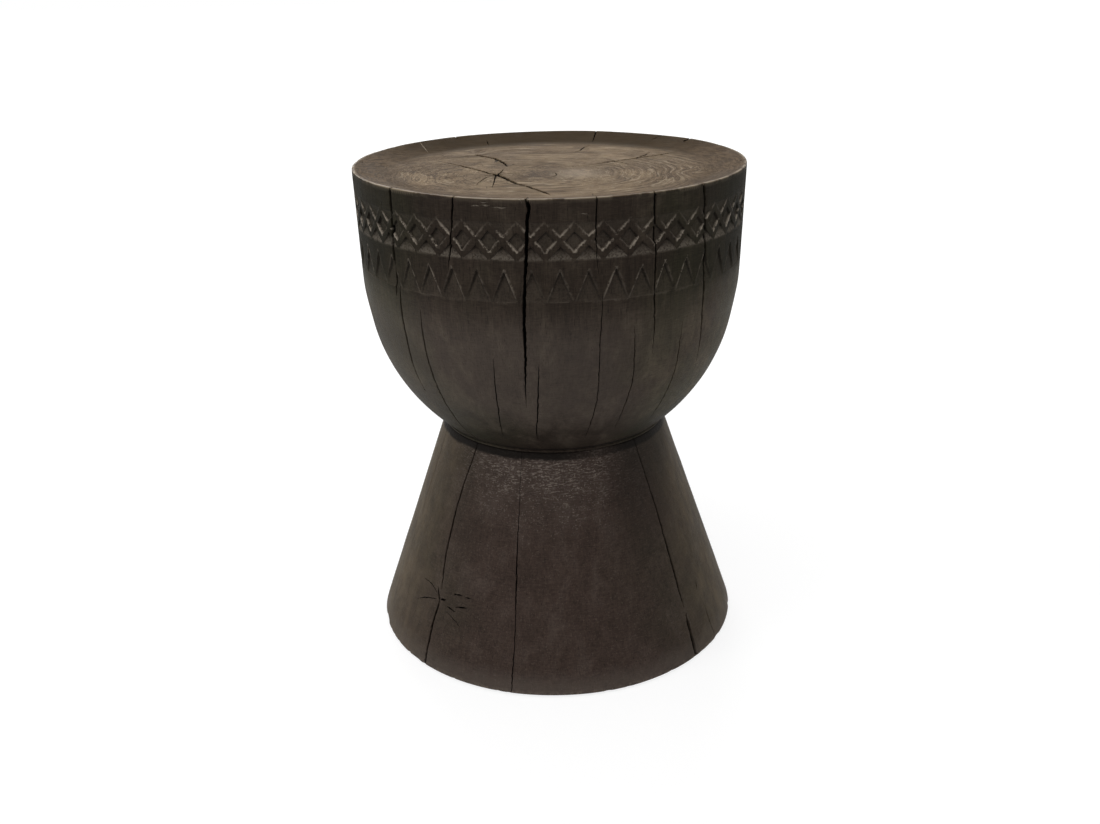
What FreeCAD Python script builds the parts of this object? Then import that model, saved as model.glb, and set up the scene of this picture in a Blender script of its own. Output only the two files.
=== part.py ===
import FreeCAD, Part
import math
import os
import Sketcher
from FreeCAD import Placement, Rotation, Vector

# A low round table carved from dark hardwood in the shape of a drum. A bowl with a dished top stands on
# a flared foot, and the two turned blocks meet at the waist on a round tenon. Four felt pads carry the
# foot. Millimetres, +Z up, the origin on the floor under the middle of the table, the front towards -Y.

doc = FreeCAD.newDocument("DrumTable")
sheet = doc.addObject("Spreadsheet::Sheet", "Sizes")
aliases = []
subparts = []


# A named size of the table: its number, and the text that binds it to the sheet.
class Size:
    def __init__(self, number, text):
        self.number = number
        self.text = text

    def __add__(self, other):
        return Size(self.number + other.number, f"({self.text} + {other.text})")

    def __sub__(self, other):
        return Size(self.number - other.number, f"({self.text} - {other.text})")

    def __mul__(self, other):
        return Size(self.number * other.number, f"({self.text} * {other.text})")

    def __truediv__(self, other):
        return Size(self.number / other.number, f"({self.text} / {other.text})")

    def __neg__(self):
        return Size(-self.number, f"(-{self.text})")


# Writes one driving size into the next row of the sheet and gives it back with its alias.
def size(alias, number):
    aliases.append(alias)
    row = len(aliases)
    sheet.set(f"A{row}", alias)
    sheet.set(f"B{row}", str(number))
    sheet.setAlias(f"B{row}", alias)
    return Size(number, f"Sizes.{alias}")


def sine(angle):
    return Size(math.sin(math.radians(angle.number)), f"sin({angle.text} * 1 deg)")


def cosine(angle):
    return Size(math.cos(math.radians(angle.number)), f"cos({angle.text} * 1 deg)")


# The angle in degrees of a slope that rises by one size over another.
def slope(rise, run):
    angle = math.degrees(math.atan2(rise.number, run.number))
    return Size(angle, f"(atan({rise.text} / {run.text}) / 1 deg)")


# The third side of a square-cornered triangle, from its longest side and one other.
def leg(longest, other):
    span = math.sqrt(longest.number ** 2 - other.number ** 2)
    return Size(span, f"sqrt({longest.text}^2 - {other.text}^2)")


# A plain number as a size, such as a share.
def share(number):
    return Size(number, str(number))


zero = share(0)
half = share(0.5)

# the whole table
table_height = size("table_height", 450)
waist_height = size("waist_height", 210)

# the bowl: its rim, the slightly tapered barrel that carries the carving, and the belly, a part of a ball
rim_radius = size("rim_radius", 175)
rim_width = size("rim_width", 3)
dish_radius = size("dish_radius", 146)
dish_depth = size("dish_depth", 7.5)
barrel_radius = size("barrel_radius", 172.2)
barrel_height = size("barrel_height", 106)
belly_radius = size("belly_radius", 169.8)
belly_height = size("belly_height", 95)
waist_radius = size("waist_radius", 104.5)
lip_overhang = size("lip_overhang", 1.5)
lip_height = size("lip_height", 1.6)

# the lattice round the bowl: two zigzag strips that cross, left standing by three rows of chips
collar_height = size("collar_height", 18.3)
crossing_count = size("crossing_count", 49)
lattice_height = size("lattice_height", 30.5)
strip_height = size("strip_height", 6.9)
lattice_depth = size("lattice_depth", 2)
first_crossing = size("first_crossing", 2.3)
corner_share = size("corner_share", 0.97)

# the row of saw teeth below the lattice, sunk deeper at their base
row_gap = size("row_gap", 7)
tooth_height = size("tooth_height", 26.7)
tooth_depth = size("tooth_depth", 1.7)
tooth_tip_depth = size("tooth_tip_depth", 1)

# the joint at the waist: a round tenon on the foot, glued into a blind mortise in the bowl
tenon_radius = size("tenon_radius", 38)
tenon_length = size("tenon_length", 60)
tenon_chamfer = size("tenon_chamfer", 3)
glue_gap = size("glue_gap", 0.3)
mortise_end_gap = size("mortise_end_gap", 2)

# the foot: a straight cone with an eased upper edge and a shallow hollow underneath
foot_radius = size("foot_radius", 177)
foot_top_radius = size("foot_top_radius", 105.5)
eased_width = size("eased_width", 2.5)
eased_height = size("eased_height", 1.8)
hollow_radius = size("hollow_radius", 161)
rim_clearance = size("rim_clearance", 1.5)

# the four square felt pads, glued into the hollow so that they stand a little below the foot's rim
pad_circle = size("pad_circle", 135)
pad_side = size("pad_side", 30)
pad_thickness = size("pad_thickness", 5)
doc.recompute()

# heights on the bowl, from the top down
lattice_top = table_height - collar_height
lattice_bottom = lattice_top - lattice_height
tooth_top = lattice_bottom - row_gap
barrel_bottom = table_height - barrel_height


# The barrel's radius at a height.
def side_radius(height):
    return barrel_radius + (rim_radius - barrel_radius) * (height - barrel_bottom) / barrel_height


# the angle from one crossing to the middle of the next diamond, and from one pad to the next
half_pitch = share(180) / crossing_count
corners = ["back_right", "front_right", "front_left", "back_left"]
corner_turn = share(360) / share(len(corners))


def bind(target, path, value):
    target.setExpression(path, value.text)


def make_body(label):
    body = doc.addObject("PartDesign::Body", label)
    body.Label = label
    subparts.append(body)
    return body


def origin_plane(body, role):
    return next(item for item in body.Origin.OriginFeatures if item.Role == role)


# A sketch on one of the body's own planes, shifted by named sizes along the plane's axes.
def make_sketch(body, name, role, shift=(zero, zero, zero), turn=None, turn_axis=Vector(1, 0, 0)):
    sketch = body.newObject("Sketcher::SketchObject", name)
    sketch.AttachmentSupport = [(origin_plane(body, role), "")]
    sketch.MapMode = "FlatFace"
    offset = Vector(*[along.number for along in shift])
    sketch.AttachmentOffset = Placement(offset, Rotation(turn_axis, turn.number if turn else 0))
    for axis, along in zip("xyz", shift):
        if along is not zero:
            bind(sketch, f"AttachmentOffset.Base.{axis}", along)
    if turn:
        bind(sketch, "AttachmentOffset.Rotation.Angle", turn)
    return sketch


# A closed outline through named points. Its stretches are straight, but for one that can be an arc about a
# point on the sketch's upright axis: ball gives where that arc starts, its radius and its middle's height.
def draw_outline(sketch, points, ball=None):
    places = [Vector(across.number, up.number, 0) for across, up in points]
    for edge, point in enumerate(points):
        start, end = places[edge], places[(edge + 1) % len(places)]
        if ball and point is ball[0]:
            circle = Part.Circle(Vector(0, ball[2].number, 0), Vector(0, 0, 1), ball[1].number)
            sketch.addGeometry(Part.ArcOfCircle(circle, circle.parameter(start), circle.parameter(end)))
            sketch.addConstraint(Sketcher.Constraint("PointOnObject", edge, 3, -2))
        else:
            sketch.addGeometry(Part.LineSegment(start, end))
        for kind, value in zip(("DistanceX", "DistanceY"), point):
            rule = sketch.addConstraint(Sketcher.Constraint(kind, -1, 1, edge, 1, value.number))
            bind(sketch, f"Constraints[{rule}]", value)
    for edge in range(len(points)):
        sketch.addConstraint(Sketcher.Constraint("Coincident", (edge or len(points)) - 1, 2, edge, 1))


# Turns an outline, drawn to the right of the axis, round the body's upright axis.
def revolve(body, name, points, ball=None):
    sketch = make_sketch(body, f"{name}_outline", "XZ_Plane")
    draw_outline(sketch, points, ball)
    turned = body.newObject("PartDesign::Revolution", name)
    turned.Profile = sketch
    turned.ReferenceAxis = (sketch, ["V_Axis"])
    turned.Angle = 360
    doc.recompute()
    return turned


# Cuts away what lies on the side that the sketch plane faces.
def carve(body, name, sketch, length):
    cut = body.newObject("PartDesign::Pocket", name)
    cut.Profile = sketch
    cut.Reversed = True
    cut.Length = length.number
    bind(cut, "Length", length)
    doc.recompute()
    return cut


# Repeats features evenly round the body's upright axis.
def repeat_round(body, name, features, copies):
    pattern = body.newObject("PartDesign::PolarPattern", name)
    pattern.Originals = features
    pattern.Axis = (origin_plane(body, "Z_Axis"), [""])
    pattern.Angle = 360
    pattern.Occurrences = copies
    body.Tip = pattern
    doc.recompute()
    return pattern


def make_drum_bowl():
    body = make_body("drum_bowl")
    mortise_radius = tenon_radius + glue_gap
    mortise_top = waist_height + tenon_length + mortise_end_gap
    lip_top = waist_height + lip_height
    dish_height = table_height - dish_depth
    belly_middle = lip_top + leg(belly_radius, waist_radius)
    belly_top = lip_top + belly_height
    belly_start = (waist_radius, lip_top)
    outline = [
        (zero, mortise_top),
        (mortise_radius, mortise_top),
        (mortise_radius, waist_height),
        (waist_radius + lip_overhang, waist_height),
        (waist_radius + lip_overhang, lip_top),
        belly_start,
        (leg(belly_radius, belly_middle - belly_top), belly_top),
        (barrel_radius, barrel_bottom),
        (rim_radius, table_height),
        (rim_radius - rim_width, table_height),
        (dish_radius, dish_height),
        (zero, dish_height),
    ]
    revolve(body, "bowl_turning", outline, (belly_start, belly_radius, belly_middle))
    chips = carve_lattice(body) + [carve_tooth(body)]
    carving = repeat_round(body, "carving_round", chips, crossing_count.number)
    bind(carving, "Occurrences", crossing_count)
    body.Placement = Placement(Vector(), Rotation(Vector(0, 0, 1), first_crossing.number))
    bind(body, "Placement.Rotation.Angle", first_crossing)


# Three chips leave one crossing of the two strips: a notch above it, a notch below it, and the diamond
# beside it, half a pitch further round.
def carve_lattice(body):
    top_radius = side_radius(lattice_top)
    bottom_radius = side_radius(lattice_bottom)
    half_span = bottom_radius * sine(half_pitch) * corner_share
    crossing_height = lattice_top - lattice_height * half
    notch_height = (lattice_height - strip_height) * half

    # the upper notch is deepest at the crossing and runs out at the lattice's top line
    tilt = slope(lattice_depth, notch_height)
    drop = notch_height / cosine(tilt)
    upper_shift = (zero, lattice_top, top_radius * cosine(half_pitch))
    upper = make_sketch(body, "upper_notch_outline", "XZ_Plane", upper_shift, tilt)
    draw_outline(upper, [(-half_span, zero), (zero, -drop), (half_span, zero)])

    # the lower notch is its mirror image and runs out at the bottom line
    lower_shift = (zero, lattice_bottom, bottom_radius * cosine(half_pitch))
    lower = make_sketch(body, "lower_notch_outline", "XZ_Plane", lower_shift, -tilt)
    draw_outline(lower, [(-half_span, zero), (half_span, zero), (zero, drop)])

    # the diamond has a flat floor
    floor_radius = side_radius(crossing_height) - lattice_depth
    reach = (lattice_height - strip_height - strip_height) * half
    side = bottom_radius * sine(half_pitch) * reach / notch_height
    shift = (floor_radius * sine(half_pitch), crossing_height, floor_radius * cosine(half_pitch))
    diamond = make_sketch(body, "diamond_outline", "XZ_Plane", shift, half_pitch, Vector(0, 1, 0))
    draw_outline(diamond, [(-side, zero), (zero, -reach), (side, zero), (zero, reach)])

    depth = lattice_depth + lattice_depth
    return [
        carve(body, "upper_notch", upper, depth),
        carve(body, "lower_notch", lower, depth),
        carve(body, "diamond_chip", diamond, depth),
    ]


# One saw tooth points up at a crossing and stands on a sharp ledge.
def carve_tooth(body):
    base_radius = side_radius(tooth_top - tooth_height)
    half_span = base_radius * sine(half_pitch) * corner_share
    tip_radius = side_radius(tooth_top) - tooth_tip_depth
    tilt = slope(tip_radius - base_radius + tooth_depth, tooth_height)
    drop = tooth_height / cosine(tilt)
    tooth = make_sketch(body, "tooth_outline", "XZ_Plane", (zero, tooth_top, tip_radius), tilt)
    draw_outline(tooth, [(zero, zero), (-half_span, -drop), (half_span, -drop)])
    return carve(body, "saw_tooth", tooth, tooth_depth + tooth_depth)


def make_flared_foot():
    body = make_body("flared_foot")
    tenon_top = waist_height + tenon_length
    outline = [
        (zero, pad_thickness),
        (hollow_radius, pad_thickness),
        (hollow_radius, rim_clearance),
        (foot_radius, rim_clearance),
        (foot_top_radius, waist_height - eased_height),
        (foot_top_radius - eased_width, waist_height),
        (tenon_radius, waist_height),
        (tenon_radius, tenon_top - tenon_chamfer),
        (tenon_radius - tenon_chamfer, tenon_top),
        (zero, tenon_top),
    ]
    revolve(body, "foot_turning", outline)


# One square pad of pressed felt, placed a number of quarter turns past the back right and square to the axis.
def make_felt_pad(label, number):
    body = make_body(label)
    edge = pad_side * half
    outline = make_sketch(body, f"{label}_outline", "XY_Plane")
    draw_outline(outline, [(-edge, -edge), (edge, -edge), (edge, edge), (-edge, edge)])
    pad = body.newObject("PartDesign::Pad", f"{label}_sheet")
    pad.Profile = outline
    pad.Length = pad_thickness.number
    bind(pad, "Length", pad_thickness)
    turn = corner_turn * share(number + 0.5)
    across = pad_circle * sine(turn)
    along = pad_circle * cosine(turn)
    body.Placement = Placement(Vector(across.number, along.number, 0), Rotation(Vector(0, 0, 1), -turn.number))
    bind(body, "Placement.Base.x", across)
    bind(body, "Placement.Base.y", along)
    bind(body, "Placement.Rotation.Angle", -turn)


make_drum_bowl()
make_flared_foot()
for number, corner in enumerate(corners):
    make_felt_pad(f"{corner}_felt_pad", number)

doc.recompute()
for item in doc.Objects:
    if "Invalid" in item.State or "Error" in item.State:
        raise RuntimeError(f"{item.Name} failed: {item.State}")
for body in subparts:
    if body.Shape.isNull() or not body.Shape.isValid() or len(body.Shape.Solids) != 1:
        raise RuntimeError(f"{body.Label} isn't one valid solid")

os.makedirs("parts", exist_ok=True)
for body in subparts:
    body.Shape.exportStep(f"parts/{body.Label}.step")
    box = body.Shape.optimalBoundingBox()
    print(f"{body.Label}: {body.Shape.Volume:.0f} mm3, {len(body.Shape.Faces)} faces, "
          f"z {box.ZMin:.2f} to {box.ZMax:.2f}, across {box.XLength:.2f}")
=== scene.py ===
import math

import bmesh
import bpy
import numpy as np
from mathutils import Matrix, Vector
from mathutils.geometry import delaunay_2d_cdt


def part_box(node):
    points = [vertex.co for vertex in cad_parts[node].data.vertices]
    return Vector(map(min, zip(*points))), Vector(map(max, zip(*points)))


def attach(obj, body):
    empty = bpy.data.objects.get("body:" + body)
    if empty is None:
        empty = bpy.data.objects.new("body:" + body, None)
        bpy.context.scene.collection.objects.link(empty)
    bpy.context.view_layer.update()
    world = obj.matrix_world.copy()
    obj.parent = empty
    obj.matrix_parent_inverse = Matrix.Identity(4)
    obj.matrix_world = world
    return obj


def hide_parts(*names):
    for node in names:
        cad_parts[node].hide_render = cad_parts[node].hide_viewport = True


# The looks of the drum table: two turned blocks of dark carved hardwood and the felt under them.
# Lengths are written in millimetres and turned into metres where a mesh is made.
# Azimuths are in degrees, 0 at the front and growing towards +X.

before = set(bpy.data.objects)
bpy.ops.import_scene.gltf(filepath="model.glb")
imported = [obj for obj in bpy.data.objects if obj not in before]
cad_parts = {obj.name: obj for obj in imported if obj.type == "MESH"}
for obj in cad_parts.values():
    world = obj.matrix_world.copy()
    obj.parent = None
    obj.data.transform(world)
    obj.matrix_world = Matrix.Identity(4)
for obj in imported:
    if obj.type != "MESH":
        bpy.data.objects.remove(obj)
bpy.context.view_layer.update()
mm = 0.001


def boxOf(node):
    low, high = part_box(node)
    return low / mm, high / mm


bowlLow, bowlHigh = boxOf("drum_bowl")
footLow, footHigh = boxOf("flared_foot")
tableTop = bowlHigh.z
waist = bowlLow.z
rimRadius = (bowlHigh.x - bowlLow.x + bowlHigh.y - bowlLow.y) / 4
footRadius = (footHigh.x - footLow.x + footHigh.y - footLow.y) / 4
print("frame loaded, table top at", round(tableTop, 2))


# what both blocks are made with

def softNoise(points, size, seed):
    # a smooth random field, about -1 to 1, whose lumps are about size across
    rng = np.random.default_rng(seed)
    total = np.zeros(len(points))
    for _ in range(9):
        way = rng.normal(size=points.shape[1])
        way *= 2 * math.pi / (size * rng.uniform(0.7, 1.6) * 2 * np.linalg.norm(way))
        total += np.sin(points @ way + rng.uniform(0, 2 * math.pi))
    return total / 3.2


def roundedPath(corners):
    # a polyline of (across, up, rounding), its corners turned into short arcs
    path = []
    for i, (across, up, rounding) in enumerate(corners):
        here = np.array([across, up], float)
        if not rounding or i in (0, len(corners) - 1):
            path.append(here)
            continue
        before = np.array(corners[i - 1][:2], float) - here
        after = np.array(corners[i + 1][:2], float) - here
        before /= np.linalg.norm(before)
        after /= np.linalg.norm(after)
        bend = math.acos(float(np.clip(before @ after, -1, 1)))
        reach = rounding / math.tan(bend / 2)
        for t in np.linspace(0, 1, 6):
            start, end = here + before * reach, here + after * reach
            path.append(start * (1 - t) ** 2 + here * 2 * t * (1 - t) + end * t ** 2)
    return np.array(path)


class Profile:
    # half of a turned block's outline, measured by the length along it
    def __init__(self, path):
        length = np.r_[0, np.cumsum(np.hypot(*np.diff(path, axis=0).T))]
        keep = np.r_[True, np.diff(length) > 1e-6]
        fine = np.arange(0, length[-1], 0.2)
        self.along = np.r_[fine, length[-1]]
        self.across = np.interp(self.along, length[keep], path[keep, 0])
        self.up = np.interp(self.along, length[keep], path[keep, 1])
        tangent = np.gradient(np.c_[self.across, self.up], self.along, axis=0)
        self.out = np.c_[-tangent[:, 1], tangent[:, 0]]
        self.out /= np.linalg.norm(self.out, axis=1)[:, None]
        self.length = length[-1]
        self.side = 0, self.length  # the lengths between which the block's side lies

    def at(self, along):
        return [np.interp(along, self.along, values) for values in (self.across, self.up, *self.out.T)]

    def first(self, where):
        # the length at which something is true for the first time
        return self.along[np.argmax(where)]

    def nearest(self, up):
        return self.along[np.argmin(np.abs(self.up - up))]

    def whereUp(self, up):
        # the length at which the block's side passes a height
        part = (self.along >= self.side[0]) & (self.along <= self.side[1])
        order = np.argsort(self.up[part])
        return np.interp(up, self.up[part][order], self.along[part][order])


def chipSides(corners, walls):
    # each side of a convex outline: a point on it, the way into the outline and the width of its wall,
    # which is the first of walls where the wall faces up the side of the bowl and the second elsewhere
    for i in range(len(corners)):
        a, b = corners[i], corners[(i + 1) % len(corners)]
        inward = np.array([-(b - a)[1], (b - a)[0]]) / np.linalg.norm(b - a)
        yield a, inward, walls[0] if inward[1] < -0.2 else walls[1]


def insideDepth(points, corners, walls):
    # 0 on and outside a convex outline, growing to 1 over the width of its walls, how near the points are
    # to the outline as a whole, and for each wall the way it faces, the distances to it and its width
    depth = np.full(len(points), 1.0)
    outside = np.full(len(points), 1e3)
    sides = []
    for a, inward, wall in chipSides(corners, walls):
        reach = (points - a) @ inward
        depth = np.minimum(depth, reach / wall)
        outside = np.minimum(outside, reach)
        sides.append((inward, reach, wall))
    return np.clip(depth, 0, 1), np.clip(1 + outside / 0.5, 0, 1), sides


def chipMarks(chip, points, walls, scale):
    # how deep the points lie in a chip, and how pale and how dark it is painted there: the thin edges over
    # the walls that face up are painted pale, wear and a painted highlight together, and the walls that
    # face down get painted shade
    inside, close, sides = insideDepth(points, chip["corners"], walls)
    aside = math.sin(chip["corners"][:, 0].mean() / scale)
    wear, grime = np.zeros(len(points)), np.zeros(len(points))
    for inward, reach, wall in sides:
        # of two leaning walls the one that looks towards the front is the more open one: it gets more
        # painted highlight, and on a tooth more painted shade
        lean = np.sign(inward[0]) * (abs(inward[0]) > 0.2)
        open_ = np.clip(0.6 - 1.1 * aside * lean, 0.2, 0.85) if lean else 1
        edge = 1 - np.where(reach < 0, -reach / 0.3, np.maximum(0, reach - 0.45) / 0.4)
        slope = 1 - np.where(reach < 0.1, (0.1 - reach) / 0.15, np.maximum(0, reach - wall) / 0.35)
        if chip["kind"] == "tooth":
            pale, dark = (0.4, 0) if inward[1] < -0.7 else (0.6 * (1.2 - open_), open_)
        else:
            pale, dark = (open_, 0) if inward[1] < -0.2 else (0, 0.9)
        wear = np.maximum(wear, np.clip(edge, 0, 1) * pale)
        grime = np.maximum(grime, np.clip(slope, 0, 1) * dark)
    return inside, wear * close, grime * close


def shrunk(corners, walls):
    # the same convex outline with every side moved inwards
    lines = [(inward, inward @ a + wall) for a, inward, wall in chipSides(corners, walls)]
    result = []
    for i in range(len(lines)):
        (n1, c1), (n2, c2) = lines[i - 1], lines[i]
        result.append(np.linalg.solve(np.array([n1, n2]), np.array([c1, c2])))
    return np.array(result)


def inBox(points, low, high):
    return np.flatnonzero(((points >= low) & (points <= high)).all(1))


def lineDistance(points, line, values):
    # how far each point is from a polyline, and the values of the line's points there
    a, b = line[:-1], line[1:]
    step = b - a
    t = ((points[:, None] - a) * step).sum(2) / np.maximum((step ** 2).sum(1), 1e-12)
    t = np.clip(t, 0, 1)
    gap = np.linalg.norm(points[:, None] - (a + t[..., None] * step), axis=2)
    best = gap.argmin(1)
    row = np.arange(len(points))
    t = t[row, best]
    return gap[row, best], values[best] * (1 - t)[:, None] + values[best + 1] * t[:, None]


def closedLine(corners, step=1.9):
    # an outline with points between its corners, so that it can follow the round of the block
    points = []
    for a, b in zip(corners, np.roll(corners, -1, 0)):
        count = max(1, int(round(np.linalg.norm(b - a) / step)))
        points += [a + (b - a) * t for t in np.arange(count) / count]
    return np.array(points)


class Crack:
    # a drying crack on a flat layout: its line wanders a little and its walls fall to a narrow bottom
    def __init__(self, line, widths, deepest, seed, step=2.4, wander=0.22):
        line, widths = np.array(line, float), np.array(widths, float)
        length = np.r_[0, np.cumsum(np.hypot(*np.diff(line, axis=0).T))]
        marks = np.linspace(0, length[-1], max(4, int(length[-1] / step)))
        smooth = np.array([np.interp(marks, length, line[:, k]) for k in (0, 1)]).T
        for _ in range(2):
            smooth[1:-1] = (smooth[:-2] + 2 * smooth[1:-1] + smooth[2:]) / 4
        rng = np.random.default_rng(seed)
        way = np.gradient(smooth, axis=0)
        way /= np.linalg.norm(way, axis=1)[:, None]
        self.side = np.c_[-way[:, 1], way[:, 0]]
        half = np.interp(marks, length, widths) / 2
        shake = rng.normal(size=len(marks)) * wander * np.minimum(1, half / 0.3)
        smooth += self.side * shake[:, None]
        half = np.maximum(half * rng.uniform(0.82, 1.18, len(marks)), 0.09)
        self.line = smooth
        self.values = np.c_[half, np.minimum(deepest, half * 6.5)]

    def outlines(self):
        half = self.values[:, 0]
        for share in (1, 0.35, -0.35, -1):
            yield self.line + self.side * (half * share)[:, None]

    def near(self, points):
        reach = self.values[:, 0].max() + 3
        return inBox(points, self.line.min(0) - reach, self.line.max(0) + reach)

    def relief(self, points):
        # how far into the crack each point is, how deep it lies there and how far it is from the edge
        gap, values = lineDistance(points, self.line, self.values)
        half, deep = values.T
        inside = np.clip((half - gap) / (half * 0.65), 0, 1)
        return inside, deep * inside, gap - half


def clearOf(points, cracks, margin):
    # which points leave room for the cracks' own lines
    keep = np.ones(len(points), bool)
    for crack in cracks:
        near = crack.near(points)
        if len(near):
            keep[near[crack.relief(points[near])[2] < margin]] = False
    return keep


def cutCracks(points, cracks, join):
    # how far inside a crack each point is and how deep; join says how cracks that meet add up
    inside, depth = np.zeros(len(points)), np.zeros(len(points))
    for crack in cracks:
        near = crack.near(points)
        if len(near):
            share, deep, _ = crack.relief(points[near])
            inside[near] = np.maximum(inside[near], share)
            depth[near] = join(depth[near], deep)
    return inside, depth


class Layout:
    # points and lines that a flat sheet is cut into triangles by
    def __init__(self):
        self.points, self.edges, self.count = [], [], 0

    def addPoints(self, points):
        self.points.append(np.asarray(points, float))
        self.count += len(points)
        return np.arange(self.count - len(points), self.count)

    def addLine(self, points, closed=False):
        ids = self.addPoints(points)
        self.edges += list(zip(ids[:-1].tolist(), ids[1:].tolist()))
        if closed:
            self.edges.append((int(ids[-1]), int(ids[0])))
        return ids

    def cut(self):
        points = np.concatenate(self.points)
        found = delaunay_2d_cdt([Vector(p) for p in points.tolist()], self.edges, [], 0, 1e-5)
        return np.array([tuple(v) for v in found[0]]), np.array(found[2])


def mergeIds(count, pairs):
    target = np.arange(count)
    for a, b in pairs:
        target[a] = b
    used = np.unique(target)
    place = np.full(count, -1)
    place[used] = np.arange(len(used))
    return place[target], used


def makeMesh(name, points, faces, marks, layout):
    mesh = bpy.data.meshes.new(name)
    mesh.from_pydata((points * mm).tolist(), [], faces.tolist())
    for mark, values in marks.items():
        mesh.attributes.new(mark, "FLOAT", "POINT").data.foreach_set("value", values.astype(np.float32))
    flat = mesh.uv_layers.new(name="OFBake")  # how the surface is laid out flat
    flat.data.foreach_set("uv", layout.astype(np.float32).ravel())
    tidied = bmesh.new()
    tidied.from_mesh(mesh)
    bmesh.ops.remove_doubles(tidied, verts=tidied.verts, dist=0.03 * mm)
    tidied.to_mesh(mesh)
    tidied.free()
    return addPiece(name, mesh, 34)


def addPiece(name, mesh, sharpDegrees):
    mesh.validate()
    mesh.shade_smooth()
    mesh.set_sharp_from_angle(angle=math.radians(sharpDegrees))
    piece = bpy.data.objects.new(name, mesh)
    bpy.context.scene.collection.objects.link(piece)
    return piece


def sheetRows(rows, profile, scale):
    # rows of points round the block, step apart from one length to another: in a number of columns where
    # they lie close together, staggered and as far apart as the rows elsewhere
    points, rings = [], []
    for start, end, step, columns in rows:
        alongs = np.linspace(start, end, max(2, int(round((end - start) / step)) + 1))[:-1]
        if (start, end) == rows[-1][:2]:
            alongs = np.r_[alongs, end]
        for number, along in enumerate(alongs):
            radius = profile.at(along)[0]
            count = columns or int(round(2 * math.pi * radius / step))
            shift = 0 if columns else (number % 2) * 0.5
            turns = (np.arange(-count, count * 2) + shift) / count - 0.5
            ring = np.c_[turns * 2 * math.pi * scale, np.full(len(turns), along)]
            (rings if columns else points).append(ring)
    return points, rings


def turnedSheet(profile, scale, rows, outlines, cracks):
    # the skin of a turned block, cut along every carved line: its points on a flat layout and its faces
    half = math.pi * scale
    margin = 30
    layout = Layout()
    points, rings = sheetRows(rows, profile, scale)
    free = np.concatenate(points) if points else np.zeros((0, 2))
    free = free[np.abs(free[:, 0]) < half + margin]
    keep = clearOf(free, cracks, 0.55) & (np.abs(np.abs(free[:, 0]) - half) > 0.6)
    for outline in outlines:
        near = inBox(free, outline.min(0) - 0.5, outline.max(0) + 0.5)
        if len(near):
            closed = np.r_[outline, outline[:1]]
            gap, _ = lineDistance(free[near], closed, np.zeros((len(closed), 1)))
            keep[near[gap < 0.42]] = False
    layout.addPoints(free[keep])
    for ring in rings:
        ring = ring[np.abs(ring[:, 0]) < half + margin]
        layout.addLine(ring)
    for outline in outlines:
        layout.addLine(outline, closed=True)
    for crack in cracks:
        for line in crack.outlines():
            layout.addLine(line)
    seam = [np.linspace(a, b, max(2, int((b - a) / min(step, 2.5)) + 1)) for a, b, step, _ in rows]
    seam = np.unique(np.round(np.concatenate(seam), 4))
    for side in (-half, half):
        layout.addLine(np.c_[np.full(len(seam), side), seam])
    places, faces = layout.cut()
    middle = places[faces].mean(1)
    inside = (np.abs(middle[:, 0]) < half) & (middle[:, 1] > 0) & (middle[:, 1] < profile.length)
    faces = faces[inside][:, ::-1]  # so that they look outwards
    # the two edges of the cut sheet become one line at the back
    left = np.flatnonzero(np.abs(places[:, 0] + half) < 1e-3)
    right = np.flatnonzero(np.abs(places[:, 0] - half) < 1e-3)
    pairs = [(r, left[np.abs(places[left, 1] - places[r, 1]).argmin()]) for r in right]
    merged, used = mergeIds(len(places), pairs)
    faces = merged[faces]
    shown = np.unique(faces)
    renumber = np.full(len(used), -1)
    renumber[shown] = np.arange(len(shown))
    return places[used[shown]], renumber[faces]


def aroundAxis(radius, up, azimuths):
    return np.c_[radius * np.sin(azimuths), -radius * np.cos(azimuths), np.broadcast_to(up, len(azimuths))]


def pressedIn(profile, flat, turn, depth):
    # the skin in space, every point pressed in by its depth
    across, up, outX, outZ = profile.at(flat[:, 1])
    return aroundAxis(across - depth * outX, up - depth * outZ, turn)


def byHand(block, solid, flat, profile):
    # a hand-finished surface: never quite round, with the marks of the scraper, even towards both ends
    fade = np.clip(flat[:, 1] / block["evenEdge"], 0, 1) * np.clip((profile.length - flat[:, 1]) / 6, 0, 1)
    marks = softNoise(solid, *block["bumps"]) * 0.6 + softNoise(solid, *block["scrapes"]) * 0.25 + 0.85
    return marks * block["uneven"] * fade


def nicked(block, solid):
    return sum(np.clip(softNoise(solid, size, seed) - least, 0, 1) * deep
               for size, seed, least, deep in block["nicks"])


def crackLines(cracks, profile, scale, firstSeed):
    made = []
    for seed, (points, deepest) in enumerate(cracks.values(), firstSeed):
        line = []
        for azimuth, height, _ in points:
            over = height - tableTop
            along = profile.side[0] - over if over > 0 else profile.whereUp(height)
            line.append((math.radians(azimuth) * scale, along))
        made.append(Crack(line, [width for _, _, width in points], deepest, seed))
    return made


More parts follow.
